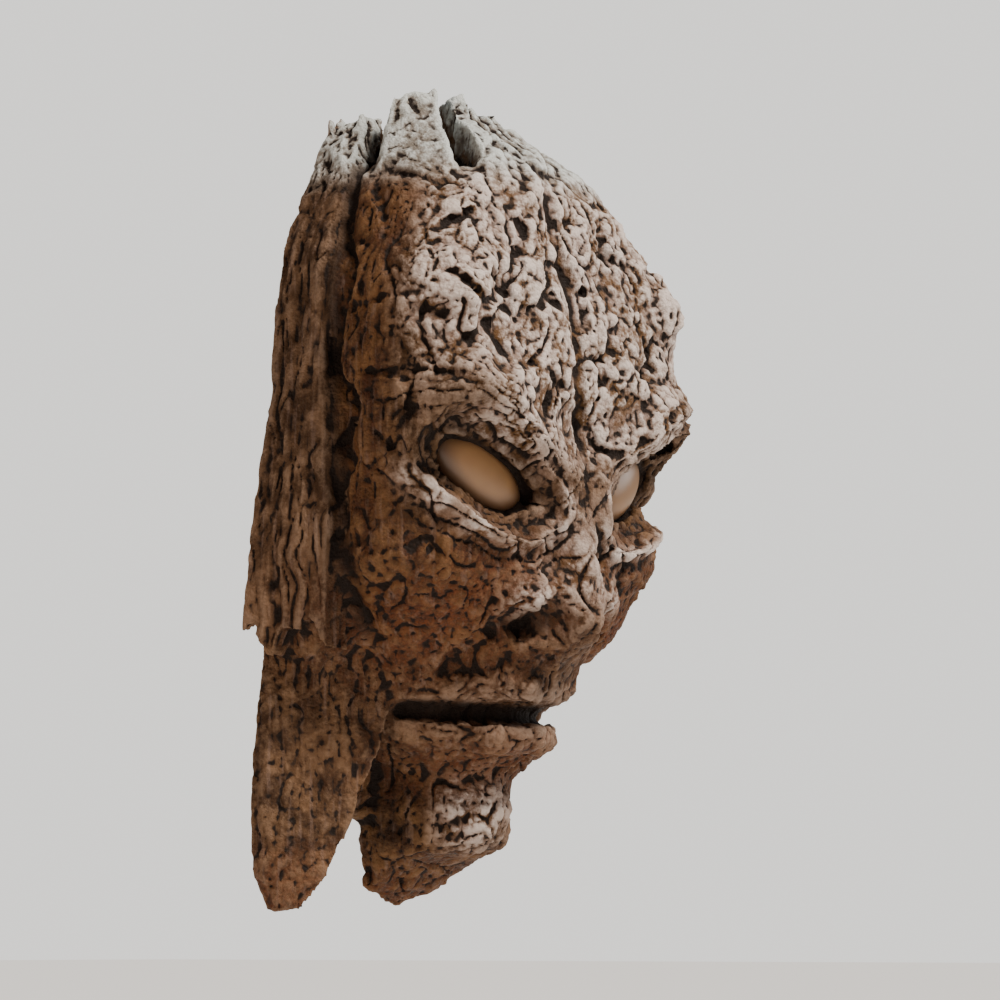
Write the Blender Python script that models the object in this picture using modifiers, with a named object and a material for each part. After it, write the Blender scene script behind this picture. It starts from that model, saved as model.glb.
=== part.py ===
"""Tree face: a gnarled bark face cast in resin, hollow behind, made to be fixed to a trunk or a wall.

The face looks along -Y, +Z is up, and the flat back lies in the plane y = 0.
The origin is on the solid land at the top of the back, where the piece is fixed.
"Forward" below means the distance in front of that back plane. All sizes are in metres.
"""

import math

import bmesh
import bpy
import numpy as np
from mathutils import Vector, noise

# Main sizes, and what one drawn millimetre becomes across the face, out from the back and up
FACE_WIDTH = 0.236
FACE_DEPTH = 0.122
FACE_HEIGHT = 0.386
SIDE = FACE_WIDTH / 236.0
OUT = FACE_DEPTH / 122.0
UP = FACE_HEIGHT / 386.0

# Cast wall and fits
WALL = 0.010
EYE_WALL = 0.006
LEAST_CORE = 0.004
LEAST_BOARD = 0.002
CORE_BOTTOM = -272 * UP
EYE_CLEARANCE = 0.0003
LAND_HALF_HEIGHT = 22 * UP
BACK_STOCK = 0.008

# Levels down the face, measured from the fixing point
DOME_TOP = 38 * UP
PLATEAU_TOP = 36 * UP
EYE_LEVEL = -141 * UP
NOSE_TIP_LEVEL = -209 * UP
MOUTH_LEVEL = -248.5 * UP
CHIN_LEVEL = -298 * UP
JAW_BOTTOM = -341 * UP


def drawn(table, units):
    """A table of drawn millimetres in metres, each column with its own unit."""
    return {name: tuple(value * unit for value, unit in zip(row, units)) for name, row in table.items()}


def drawn_route(*points):
    return tuple((across * SIDE, up * UP) for across, up in points)


# Horizontal sections of the head: level, half width, depth at the middle, squareness
HEAD_SECTIONS = drawn({
    "dome top": (38, 51, 41, 3.0),
    "crown": (21, 62, 58, 2.8),
    "dome": (8, 74, 82, 2.6),
    "hairline": (-6, 80, 92, 3.0),
    "forehead": (-35, 92, 101, 3.8),
    "frontal": (-65, 98, 107, 4.2),
    "brow": (-100, 100, 112, 4.5),
    "eye": (-141, 102, 98, 4.0),
    "cheek": (-185, 105, 99, 3.3),
    "nostril": (-205, 88, 92, 3.0),
    "cheek foot": (-225, 78, 88, 1.8),
    "lip": (-240, 71, 84, 1.7),
    "mouth": (-248.5, 66, 80, 1.7),
    "lower lip": (-262, 58, 78, 1.7),
    "chin crease": (-277, 43, 53, 1.9),
    "chin": (-298, 40, 51, 2.2),
    "chin foot": (-313, 38, 48, 2.4),
    "jaw": (-319.5, 33, 24, 2.4),
    "jaw foot": (-327, 30, 12, 2.4),
    "jaw bottom": (-341, 24, 6, 2.2),
}, (UP, SIDE, OUT, 1.0))
SECTION_EASE = 4 * UP

# How far the jaw leans to the right side: level, shift
JAW_LEAN = drawn({
    "chin": (-305, 0),
    "jaw": (-319.5, -4),
    "jaw foot": (-327, -8),
    "jaw bottom": (-341, -14),
}, (UP, SIDE))

# The board of bark behind the face that carries the side strips:
# level, half width on the right, half width on the left, depth
BOARD_SECTIONS = drawn({
    "top": (38, 50, 50, 28),
    "crown": (-6, 68, 68, 28),
    "temple": (-50, 86, 86, 30),
    "eye": (-120, 94, 94, 34),
    "cheek": (-190, 104, 100, 36),
    "hollow": (-222, 100, 84, 32),
    "web": (-250, 84, 70, 18),
    "web foot": (-300, 76, 52, 10),
}, (UP, SIDE, SIDE, OUT))
BOARD_SQUARENESS = 6.0
BOARD_FOOT_FADE = 4 * UP

# Eyes: smooth lenses, tilted up at their outer ends
EYE_OUT = 50 * SIDE
EYE_FORWARD = 83 * OUT
EYE_HALF_LENGTH = 27 * SIDE
EYE_HALF_HEIGHT = 13.5 * UP
EYE_BULGE = 9 * OUT
EYE_SEAT_DEPTH = 4.5 * OUT
EYE_TILT = math.radians(31.0)
EYE_TURN = math.radians(14.0)

# Eye sockets: how far they reach each way from the eye's middle
SOCKET_OUTWARD = 44 * SIDE
SOCKET_INWARD = 31 * SIDE
SOCKET_ABOVE = 13 * UP
SOCKET_BELOW = 21.5 * UP
SOCKET_DEPTH = 14 * OUT
SOCKET_FLOOR_ABOVE = 0.90
SOCKET_FLOOR_BELOW = 0.45
SOCKET_EDGE = 1.08
RIM_PROUD = 8 * OUT
RIM_REACH = 1.32
RIM_WIDTH = 0.20
RIM_SLOPE = 0.3
RIM_FADE = (10 * UP, -12 * UP)
LEFT_NOTCH = (84 * SIDE, -150 * UP)
LEFT_NOTCH_SIZE = (16 * SIDE, 9 * UP)
LEFT_NOTCH_DEPTH = 14 * OUT

# Brows, nose, mouth and chin
BROW_ROUTE = drawn_route((13, -143), (34, -127), (60, -110), (80, -105), (98, -113))
BROW_PROUD = 13 * OUT
BROW_WIDTH = 13 * UP
NOSE_RIDGE = drawn({
    "root": (-116, 0, 9),
    "bridge": (-138, 4, 9),
    "under the bridge": (-150, 5, 10),
    "middle": (-165, 10, 12),
    "above the tip": (-190, 17, 15),
    "tip": (-209, 23, 16),
    "under the tip": (-220, 19, 15),
    "septum": (-228, 7, 12),
    "lip": (-235, 0, 10),
}, (UP, OUT, SIDE))
NOSE_ROUNDNESS = 2.6
NOSTRIL = (24 * SIDE, NOSE_TIP_LEVEL - 1 * UP)
NOSTRIL_SIZE = (9 * SIDE, 6.2 * UP)
NOSTRIL_DEPTH = 16 * OUT
WING = (29 * SIDE, -198 * UP)
WING_SIZE = (10 * SIDE, 8.5 * UP)
WING_PROUD = 9 * OUT
MOUTH_HALF_WIDTH = 55 * SIDE
MOUTH_HALF_GAP = 4.2 * UP
MOUTH_SAG = 2 * UP
MOUTH_DEPTH = 14 * OUT
MOUTH_END = (0.86, 1.06)
LIP_PROUD = 6 * OUT
UPPER_LIP_RISE = 11 * UP
UPPER_LIP_WIDTH = 5.5 * UP
UPPER_LIP_SHARE = 0.6
LOWER_LIP_DROP = 15.5 * UP
LOWER_LIP_WIDTH = 8 * UP
CHIN_PROUD = 5 * OUT
CHIN_SIZE = (18 * SIDE, 18 * UP)

# Side strips, from the crown down to the ragged step: level, half width at the back plane
STRIP_EDGE = drawn({
    "tip": (31, 60),
    "crown": (-8, 73),
    "temple": (-35, 89),
    "eye": (-95, 96),
    "cheek": (-162, 112),
    "step": (-216, 120),
}, (UP, SIDE))
LEFT_STRIP_SHORTER = 14 * UP
STRIP_PROUD = 3 * SIDE
STRIP_THICKNESS = 16 * SIDE
STRIP_FRONT_SPARE = 4 * SIDE
STRIP_RAG = (6 * UP, 4 * UP)
STRIP_SWELL = 0.25
STRIP_CORNER = 8
STRIP_CUTS = 40

# Lower planks: level, outer edge, inner edge, forward at the inner edge
RIGHT_PLANK = drawn({
    "top": (-206, 100, 64, 44),
    "step": (-226, 106, 61, 40),
    "mouth": (-250, 109, 57, 37),
    "lip": (-268, 111, 62, 35),
    "chin": (-300, 113, 73, 29),
    "jaw": (-325, 111, 82, 22),
    "tip": (-343, 101, 92, 12),
}, (UP, SIDE, SIDE, OUT))
LEFT_PLANK = drawn({
    "top": (-200, 96, 60, 44),
    "step": (-226, 87, 58, 36),
    "mouth": (-250, 74, 50, 24),
    "lip": (-270, 60, 36, 16),
    "chin": (-290, 50, 30, 12),
    "tip": (-306, 42, 26, 9),
}, (UP, SIDE, SIDE, OUT))
PLANK_OUTER_FORWARD = 6 * OUT
PLANK_ROUNDNESS = 0.8
PLANK_UNDERCUT = 14 * SIDE
PLANK_CUTS = 30

# Broken top of the crown by the angle round the face, from the right side to the left: angle, top level
CROWN_SKYLINE = drawn({
    "right strip": (-90, 27),
    "right strip end": (-71, 24),
    "first cleft": (-68, 12),
    "first cleft end": (-63, 14),
    "tall right": (-59, 41),
    "tall right end": (-37, 46),
    "gap": (-35, 13),
    "gap end": (-28, 12),
    "tall middle": (-26, 45),
    "tall middle end": (-19, 46),
    "nick": (-17, 32),
    "plate": (-14, 39),
    "plate end": (15, 33),
    "shoulder": (45, 26),
    "left temple": (90, 18),
}, (math.radians(1.0), UP))
SKYLINE_RAG = 3 * UP

# Bark plates and the grooves of the face
PLATE_SIZE = 0.026
PLATE_STRETCH = 1.25
PLATE_WARP = 0.20
CRACK_DEPTH = 0.0045
CRACK_SHARE = 0.16
SIDE_CRACK_SHARE = 0.6
SIDE_FADE = (50 * SIDE, 90 * SIDE)
FOREHEAD_FADE = (-150 * UP, -105 * UP)
CHEEK_PLATES = 0.55
PLATE_FRONT_FADE = (20 * OUT, 45 * OUT)
PLATE_SOCKET_FADE = (0.8, 1.25)
QUIET_MOUTH = (60 * SIDE, 20 * UP)
QUIET_MOUTH_SHARE = 0.7
MIDDLE_CRACK = drawn_route((-8, 4), (-11, -30), (-3, -62), (-7, -98), (1, -124))
MIDDLE_CRACK_DEPTH = 5 * OUT
MIDDLE_CRACK_WIDTH = 3.4 * SIDE
FRONTAL_LUMP = (78 * SIDE, -52 * UP)
FRONTAL_LUMP_SIZE = (18 * SIDE, 22 * UP)
FRONTAL_LUMP_PROUD = 13 * OUT
GROOVE_FORWARD = drawn({
    "top": (30, 24),
    "temple": (-35, 33),
    "eye": (-95, 37),
    "cheek": (-165, 44),
    "foot": (-215, 40),
}, (UP, OUT))
GROOVE_DEPTH = 6 * SIDE
GROOVE_WIDTH = 3.8 * OUT
GROOVE_FOOT_FADE = (-228 * UP, -216 * UP)
GROOVE_INNER_EDGE = 30 * SIDE
FOLD_ROUTE = drawn_route((30, -196), (40, -216), (50, -240))
FOLD_DEPTH = 5 * OUT
FOLD_WIDTH = 4.5 * SIDE
EAR_SLIT = -182 * UP
EAR_SLIT_SIZE = (6 * OUT, 14 * UP)
EAR_SLIT_DEPTH = 7.5 * SIDE
LUMP_SIZE = 0.034
LUMP_HEIGHT = 4 * OUT
LUMP_SPREAD = 100 * SIDE
FRONT_FADE = (6 * OUT, 30 * OUT)
FRONT_SHARE = 0.86
POLE_SHARE = 0.08

# Fineness of the finished solids
HEAD_COLUMNS = 200
HEAD_RINGS = 170
BLEND_VOXEL = 2.4 * UP
BARK_SHARE_KEPT = 0.061
BACK_CUTTER_SPARE = 0.100
BACK_CUTTER_DEPTH = 0.050
EYE_SEGMENTS = 18
CORE_COLUMNS = 44
CORE_RINGS = 32
CORE_MOUTH_FADE = (75 * UP, 45 * UP)
CORE_EYE_FADE = (54 * SIDE, 34 * SIDE)


def collection(name):
    made = bpy.data.collections.new(name)
    bpy.context.scene.collection.children.link(made)
    return made


def material(name, colour, roughness):
    made = bpy.data.materials.new(name)
    made.use_nodes = True
    shader = made.node_tree.nodes["Principled BSDF"]
    shader.inputs["Base Color"].default_value = (*colour, 1.0)
    shader.inputs["Roughness"].default_value = roughness
    shader.inputs["Metallic"].default_value = 0.0
    return made


def add_object(name, mesh, group, surface=None):
    made = bpy.data.objects.new(name, mesh)
    group.objects.link(made)
    if surface:
        mesh.materials.append(surface)
    return made


def mesh_from(bm, name):
    mesh = bpy.data.meshes.new(name)
    bm.to_mesh(mesh)
    bm.free()
    return mesh


def get_points(mesh):
    points = np.empty(len(mesh.vertices) * 3)
    mesh.vertices.foreach_get("co", points)
    return points.reshape(-1, 3)


def set_points(mesh, points):
    mesh.vertices.foreach_set("co", np.ascontiguousarray(points, dtype=np.float32).ravel())
    mesh.update()


def eased(stations, column, z):
    """The stations' values against level, with the corners between them eased."""
    rows = sorted(stations.values())
    levels = [row[0] for row in rows]
    values = [row[column] for row in rows]
    total = np.zeros(z.shape)
    weights = 0.0
    for step in range(-4, 5):
        weight = math.exp(-((step / 2.0) ** 2))
        total += weight * np.interp(z + step * SECTION_EASE / 2.0, levels, values)
        weights += weight
    return total / weights


def smoothstep(low, high, value):
    t = np.clip((value - low) / (high - low), 0.0, 1.0)
    return t * t * (3.0 - 2.0 * t)


def superellipse(phi, half_width, depth, power):
    side = np.abs(np.sin(phi)) / half_width
    front = np.abs(np.cos(phi)) / depth
    return (side**power + front**power) ** (-1.0 / power)


def route_distance(x, z, route):
    """How far each point is from a route of straight stretches."""
    best = np.full(x.shape, FACE_HEIGHT)
    for (x0, z0), (x1, z1) in zip(route, route[1:]):
        length = math.hypot(x1 - x0, z1 - z0)
        t = np.clip(((x - x0) * (x1 - x0) + (z - z0) * (z1 - z0)) / length**2, 0.0, 1.0)
        best = np.minimum(best, np.hypot(x - x0 - t * (x1 - x0), z - z0 - t * (z1 - z0)))
    return best


def bump(x, z, at, size):
    """A rounded bump of height 1 at a place, with its half width and half height."""
    return np.exp(-(((x - at[0]) / size[0]) ** 2) - ((z - at[1]) / size[1]) ** 2)


def noise_at(points, size, seed):
    """Smooth noise between -1 and 1 with lumps of the given size."""
    shift = Vector((17.3 * seed, -9.1 * seed, 5.7 * seed))
    return np.array([noise.noise(Vector(point) / size + shift) for point in points])


def socket_place(x, z):
    """Distance from an eye's middle in socket half sizes, 1 at the rim, and how far above its long axis."""
    along_x = np.abs(x) - EYE_OUT
    along_z = z - EYE_LEVEL
    long_way = along_x * math.cos(EYE_TILT) + along_z * math.sin(EYE_TILT)
    short_way = along_z * math.cos(EYE_TILT) - along_x * math.sin(EYE_TILT)
    half_length = np.where(long_way > 0.0, SOCKET_OUTWARD, SOCKET_INWARD)
    half_height = np.where(short_way > 0.0, SOCKET_ABOVE, SOCKET_BELOW)
    return np.hypot(long_way / half_length, short_way / half_height), short_way


def socket_relief(x, z):
    reach, above = socket_place(x, z)
    floor = np.where(above > 0.0, SOCKET_FLOOR_ABOVE, SOCKET_FLOOR_BELOW)
    return -SOCKET_DEPTH * (1.0 - smoothstep(floor, SOCKET_EDGE, reach))


def mouth_relief(x, z):
    middle = MOUTH_LEVEL - MOUTH_SAG * np.cos(x / MOUTH_HALF_WIDTH * math.pi / 2.0)
    taper = 1.0 - smoothstep(MOUTH_END[0] * MOUTH_HALF_WIDTH, MOUTH_END[1] * MOUTH_HALF_WIDTH, np.abs(x))
    slit = np.exp(-(((z - middle) / MOUTH_HALF_GAP) ** 4))
    upper = np.exp(-(((z - middle - UPPER_LIP_RISE) / UPPER_LIP_WIDTH) ** 2))
    lower = np.exp(-(((z - middle + LOWER_LIP_DROP) / LOWER_LIP_WIDTH) ** 2))
    return taper * (LIP_PROUD * (UPPER_LIP_SHARE * upper + lower) - MOUTH_DEPTH * slit)


def nose_relief(x, z):
    height = eased(NOSE_RIDGE, 1, z)
    width = eased(NOSE_RIDGE, 2, z)
    ridge = height / (1.0 + (np.abs(x) / width) ** NOSE_ROUNDNESS)
    wings = WING_PROUD * bump(np.abs(x), z, WING, WING_SIZE)
    nostrils = -NOSTRIL_DEPTH * bump(np.abs(x), z, NOSTRIL, NOSTRIL_SIZE)
    return ridge + wings + nostrils


def brow_relief(x, z):
    distance = route_distance(np.abs(x), z, BROW_ROUTE)
    return BROW_PROUD * np.exp(-((distance / BROW_WIDTH) ** 2))


def rim_relief(x, z):
    reach, above = socket_place(x, z)
    below = smoothstep(*RIM_FADE, z - EYE_LEVEL - RIM_SLOPE * (np.abs(x) - EYE_OUT))
    return RIM_PROUD * np.exp(-(((reach - RIM_REACH) / RIM_WIDTH) ** 2)) * below


def front_relief(x, z):
    """How far the features stand forward of the head's plain sections."""
    total = socket_relief(x, z) + rim_relief(x, z) + brow_relief(x, z)
    total += nose_relief(x, z) + mouth_relief(x, z)
    total += CHIN_PROUD * bump(x, z, (0.0, CHIN_LEVEL), CHIN_SIZE)
    folds = route_distance(np.abs(x), z, FOLD_ROUTE)
    total -= FOLD_DEPTH * np.exp(-((folds / FOLD_WIDTH) ** 2))
    total += FRONTAL_LUMP_PROUD * bump(np.abs(x), z, FRONTAL_LUMP, FRONTAL_LUMP_SIZE)
    split = route_distance(x, z, MIDDLE_CRACK)
    total -= MIDDLE_CRACK_DEPTH * np.exp(-((split / MIDDLE_CRACK_WIDTH) ** 2))
    total -= LEFT_NOTCH_DEPTH * bump(x, z, LEFT_NOTCH, LEFT_NOTCH_SIZE)
    return total


def crack_between_plates(points):
    """One in the middle of a crack between bark plates, falling to zero on the plates."""
    stretched = points * np.array((1.0, 1.0, 1.0 / PLATE_STRETCH))
    warp = PLATE_WARP * noise_at(stretched, PLATE_SIZE * 0.6, 3.0)
    gaps = np.empty(len(points))
    for index, point in enumerate(stretched):
        near = noise.voronoi(Vector(point) / PLATE_SIZE + Vector((warp[index], warp[index], 0.0)))[0]
        gaps[index] = near[1] - near[0]
    return 1.0 - smoothstep(0.0, CRACK_SHARE, gaps)


def plate_share(x, z, forward):
    """Where the bark is cracked into plates: the forehead and brows, and less over the cheeks."""
    forehead = smoothstep(*FOREHEAD_FADE, z)
    reach, above = socket_place(x, z)
    quiet = smoothstep(*PLATE_SOCKET_FADE, reach) * smoothstep(*PLATE_FRONT_FADE, forward)
    quiet *= 1.0 - QUIET_MOUTH_SHARE * bump(x, z, (0.0, MOUTH_LEVEL), QUIET_MOUTH)
    return (forehead + CHEEK_PLATES * (1.0 - forehead)) * quiet


def head_points(sphere_points, inset, top, bottom):
    """Moves the points of a unit sphere onto the head, with every wall moved in by inset."""
    azimuth = np.arctan2(sphere_points[:, 0], -sphere_points[:, 1]) / math.pi
    climb = np.arcsin(np.clip(sphere_points[:, 2], -1.0, 1.0)) / math.pi + 0.5
    z = bottom + (top - bottom) * climb
    turn = np.abs(azimuth)
    phi = np.sign(azimuth) * np.minimum(turn / FRONT_SHARE, 1.0) * math.pi / 2.0
    face = superellipse(
        phi,
        np.maximum(eased(HEAD_SECTIONS, 1, z) - inset, LEAST_CORE),
        np.maximum(eased(HEAD_SECTIONS, 2, z) - inset, LEAST_CORE),
        eased(HEAD_SECTIONS, 3, z),
    )
    board_side = np.where(phi < 0.0, eased(BOARD_SECTIONS, 1, z), eased(BOARD_SECTIONS, 2, z))
    board = superellipse(
        phi,
        np.maximum(board_side - inset, LEAST_BOARD),
        np.maximum(eased(BOARD_SECTIONS, 3, z) - inset, LEAST_BOARD),
        BOARD_SQUARENESS,
    )
    foot = BOARD_SECTIONS["web foot"][0] + inset
    board_here = smoothstep(foot - BOARD_FOOT_FADE, foot + BOARD_FOOT_FADE, z)
    board_here *= smoothstep(top, top - BOARD_FOOT_FADE, z)
    radius = np.maximum(face, board * board_here)
    pole = np.cos((climb - 0.5) * math.pi)
    edge = np.minimum(pole / POLE_SHARE, 1.0)
    radius *= edge
    x = radius * np.sin(phi)
    forward = radius * np.cos(phi)
    behind = np.clip((turn - FRONT_SHARE) / (1.0 - FRONT_SHARE), 0.0, 1.0)
    x = x * (1.0 - behind) + eased(JAW_LEAN, 1, z)
    forward = np.where(behind > 0.0, -BACK_STOCK * np.minimum(behind * 6.0, 1.0), forward)
    return x, forward, z, skyline(phi, edge)


def skyline(phi, edge):
    """The crown's broken top level at each angle round the face, evening out towards the middle."""
    angles = [row[0] for row in CROWN_SKYLINE.values()]
    tops = [row[1] for row in CROWN_SKYLINE.values()]
    rag = SKYLINE_RAG * (np.sin(phi * 61.0) + 0.6 * np.sin(phi * 27.0 + 1.0))
    return PLATEAU_TOP + (np.interp(phi, angles, tops) + rag - PLATEAU_TOP) * edge


def sphere_mesh(columns, rings, name):
    bm = bmesh.new()
    bmesh.ops.create_uvsphere(bm, u_segments=columns, v_segments=rings, radius=1.0)
    return mesh_from(bm, name)


def head_mesh():
    mesh = sphere_mesh(HEAD_COLUMNS, HEAD_RINGS, "head")
    x, forward, z, crown = head_points(get_points(mesh), 0.0, DOME_TOP, JAW_BOTTOM)
    front = smoothstep(*FRONT_FADE, forward)
    lumps = LUMP_HEIGHT * noise_at(np.column_stack((x, -forward, z)), LUMP_SIZE, 1.0)
    x = x * (1.0 + lumps / LUMP_SPREAD)
    cracks = crack_between_plates(np.column_stack((x, -forward, z))) * plate_share(x, z, forward)
    cracks *= CRACK_DEPTH
    groove = np.exp(-(((forward - eased(GROOVE_FORWARD, 1, z)) / GROOVE_WIDTH) ** 2))
    groove *= smoothstep(*GROOVE_FOOT_FADE, z)
    slit = bump(forward, z, (GROOVE_FORWARD["cheek"][1], EAR_SLIT), EAR_SLIT_SIZE)
    pulled_in = np.maximum(GROOVE_DEPTH * groove, EAR_SLIT_DEPTH * slit) * (np.abs(x) > GROOVE_INNER_EDGE)
    pulled_in += SIDE_CRACK_SHARE * cracks * smoothstep(*SIDE_FADE, np.abs(x))
    x = x - np.sign(x) * pulled_in
    moved = forward + front * (front_relief(x, z) + lumps - cracks)
    rim_share = 0.5 + math.acos(POLE_SHARE) / math.pi
    rim_level = JAW_BOTTOM + (DOME_TOP - JAW_BOTTOM) * rim_share
    z = np.where(z > 0.0, crown * np.minimum(z / rim_level, 1.0), z)
    set_points(mesh, np.column_stack((x, -moved, z)))
    return mesh


def block_mesh(cuts, name):
    """A cube of -1 to 1 each way, cut into even squares."""
    bm = bmesh.new()
    bmesh.ops.create_cube(bm, size=2.0)
    bmesh.ops.subdivide_edges(bm, edges=bm.edges[:], cuts=cuts, use_grid_fill=True)
    return mesh_from(bm, name)


def strip_mesh(side):
    """The bark strip down one side, from the crown to its ragged step."""
    mesh = block_mesh(STRIP_CUTS, "strip")
    w, u, v = get_points(mesh).T
    levels = sorted(row[0] for row in STRIP_EDGE.values())
    if side > 0:
        levels[0] += LEFT_STRIP_SHORTER
    down = 1.0 - (v + 1.0) / 2.0
    across = (u + 1.0) / 2.0
    z = levels[-1] + (levels[0] - levels[-1]) * down
    rag = STRIP_RAG[0] * np.sin(u * 5.0 + side) + STRIP_RAG[1] * np.sin(u * 11.0)
    z += rag * (down**4 + 0.5 * (1.0 - down) ** 6)
    groove = eased(GROOVE_FORWARD, 1, z) - GROOVE_WIDTH
    forward = -BACK_STOCK + (groove + BACK_STOCK) * across
    depth = eased(HEAD_SECTIONS, 2, z)
    power = eased(HEAD_SECTIONS, 3, z)
    cut_off = (1.0 - (np.maximum(forward, 0.0) / depth) ** power) ** (1.0 / power)
    head_side = eased(HEAD_SECTIONS, 1, z) * cut_off
    board_side = eased(BOARD_SECTIONS, 1, z)
    edge = eased(STRIP_EDGE, 1, z)
    front_edge = np.minimum(np.maximum(head_side, board_side), edge + STRIP_FRONT_SPARE)
    outer = edge * (1.0 - across) + front_edge * across
    rounded = np.sqrt(np.clip(1.0 - across**STRIP_CORNER, 0.0, 1.0))
    outer += STRIP_PROUD * rounded * smoothstep(0.0, STRIP_SWELL, across)
    x = outer - STRIP_THICKNESS * (1.0 - w) / 2.0
    set_points(mesh, np.column_stack((side * x, -forward, z)))
    if side < 0:
        mesh.flip_normals()
    return mesh


def plank_mesh(side, edges):
    """The board that hangs beside the mouth and the jaw and ends in a blunt tip."""
    mesh = block_mesh(PLANK_CUTS, "plank")
    u, w, v = get_points(mesh).T
    levels = sorted(row[0] for row in edges.values())
    z = levels[0] + (levels[-1] - levels[0]) * (v + 1.0) / 2.0
    outer = eased(edges, 1, z)
    inner = eased(edges, 2, z)
    across = (u + 1.0) / 2.0
    x = outer + (inner - outer) * across
    inner_forward = eased(edges, 3, z)
    surface = PLANK_OUTER_FORWARD + (inner_forward - PLANK_OUTER_FORWARD) * across**PLANK_ROUNDNESS
    outward = (1.0 - w) / 2.0
    forward = -BACK_STOCK + (surface + BACK_STOCK) * outward
    x += PLANK_UNDERCUT * across**3 * (1.0 - outward)
    set_points(mesh, np.column_stack((side * x, -forward, z)))
    if side > 0:
        mesh.flip_normals()
    return mesh


def eye_mesh(grown, name):
    """A lens with a domed front and a shallow seat behind, larger by the clearance for its pocket."""
    mesh = sphere_mesh(EYE_SEGMENTS, EYE_SEGMENTS // 2, name)
    x, y, z = get_points(mesh).T
    x = x * (EYE_HALF_LENGTH + grown)
    z = z * (EYE_HALF_HEIGHT + grown)
    y = np.where(y < 0.0, y * (EYE_BULGE + grown), y * (EYE_SEAT_DEPTH + grown))
    set_points(mesh, np.column_stack((x, y, z)))
    return mesh


def core_mesh():
    """The hollow behind the face: the head moved in by the wall, and kept clear of the mouth and the eyes."""
    mesh = sphere_mesh(CORE_COLUMNS, CORE_RINGS, "hollow")
    x, forward, z, crown = head_points(get_points(mesh), WALL, -LAND_HALF_HEIGHT, CORE_BOTTOM)
    front = smoothstep(*FRONT_FADE, forward)
    at_mouth = smoothstep(CORE_BOTTOM + CORE_MOUTH_FADE[0], CORE_BOTTOM + CORE_MOUTH_FADE[1], z)
    moved = forward - front * MOUTH_DEPTH * at_mouth
    eye_back = EYE_FORWARD - EYE_SEAT_DEPTH - EYE_HALF_LENGTH * math.sin(EYE_TURN)
    near_eye = smoothstep(*CORE_EYE_FADE, np.hypot(np.abs(x) - EYE_OUT, z - EYE_LEVEL))
    moved -= near_eye * np.maximum(moved - (eye_back - EYE_WALL), 0.0)
    set_points(mesh, np.column_stack((x, -moved, z)))
    return mesh


def back_mesh():
    """Everything behind the back plane, over the whole part and some way past it."""
    bm = bmesh.new()
    bmesh.ops.create_cube(bm, size=1.0)
    size = (FACE_WIDTH + 2.0 * BACK_CUTTER_SPARE, BACK_CUTTER_DEPTH, FACE_HEIGHT + 2.0 * BACK_CUTTER_SPARE)
    bmesh.ops.scale(bm, vec=size, verts=bm.verts)
    middle = (0.0, BACK_CUTTER_DEPTH / 2.0, (DOME_TOP + JAW_BOTTOM) / 2.0)
    bmesh.ops.translate(bm, vec=middle, verts=bm.verts)
    return mesh_from(bm, "back_plane")


def add_cutter(name, mesh, group):
    cutter = add_object(name, mesh, group)
    cutter.hide_render = True
    cutter.display_type = "WIRE"
    return cutter


def add_cut(target, cutter):
    cut = target.modifiers.new(cutter.name, "BOOLEAN")
    cut.operation = "DIFFERENCE"
    cut.solver = "EXACT"
    cut.object = cutter


def make_bark(parts, cutters):
    """One casting: the head with its broken crown, its side strips and its planks."""
    meshes = [head_mesh(), strip_mesh(-1), strip_mesh(1)]
    meshes += [plank_mesh(-1, RIGHT_PLANK), plank_mesh(1, LEFT_PLANK)]
    bm = bmesh.new()
    for mesh in meshes:
        bm.from_mesh(mesh)
        bpy.data.meshes.remove(mesh)
    surface = material("painted_bark", (0.30, 0.25, 0.21), 0.62)
    bark = add_object("face_bark", mesh_from(bm, "face_bark"), parts, surface)
    blend = bark.modifiers.new("blend", "REMESH")
    blend.mode = "VOXEL"
    blend.voxel_size = BLEND_VOXEL
    thin = bark.modifiers.new("thin", "DECIMATE")
    thin.ratio = BARK_SHARE_KEPT
    add_cut(bark, add_cutter("back_plane", back_mesh(), cutters))
    add_cut(bark, add_cutter("hollow", core_mesh(), cutters))
    return bark


def make_eye(side, name, bark, parts, cutters, lens):
    """A lens set in a pocket of its own shape, larger all round by the clearance."""
    eye = add_object(name, eye_mesh(0.0, name), parts, lens)
    eye.data.shade_smooth()
    pocket = add_cutter(name + "_pocket", eye_mesh(EYE_CLEARANCE, name + "_pocket"), cutters)
    for placed in (eye, pocket):
        placed.location = (side * EYE_OUT, -EYE_FORWARD, EYE_LEVEL)
        placed.rotation_euler = (0.0, -side * EYE_TILT, side * EYE_TURN)
    add_cut(bark, pocket)


def main():
    for old in list(bpy.data.objects):
        bpy.data.objects.remove(old)
    parts = collection("tree_face")
    cutters = collection("cutters")
    bark = make_bark(parts, cutters)
    lens = material("amber_lens", (0.48, 0.26, 0.11), 0.25)
    make_eye(-1, "right_eye", bark, parts, cutters, lens)
    make_eye(1, "left_eye", bark, parts, cutters, lens)


main()
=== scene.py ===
"""Dresses the tree face: the bark casting with its fine relief and paint, and its two amber eyes."""

import math

import bmesh
import bpy
import numpy as np
from mathutils import Matrix, Vector, noise


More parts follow.
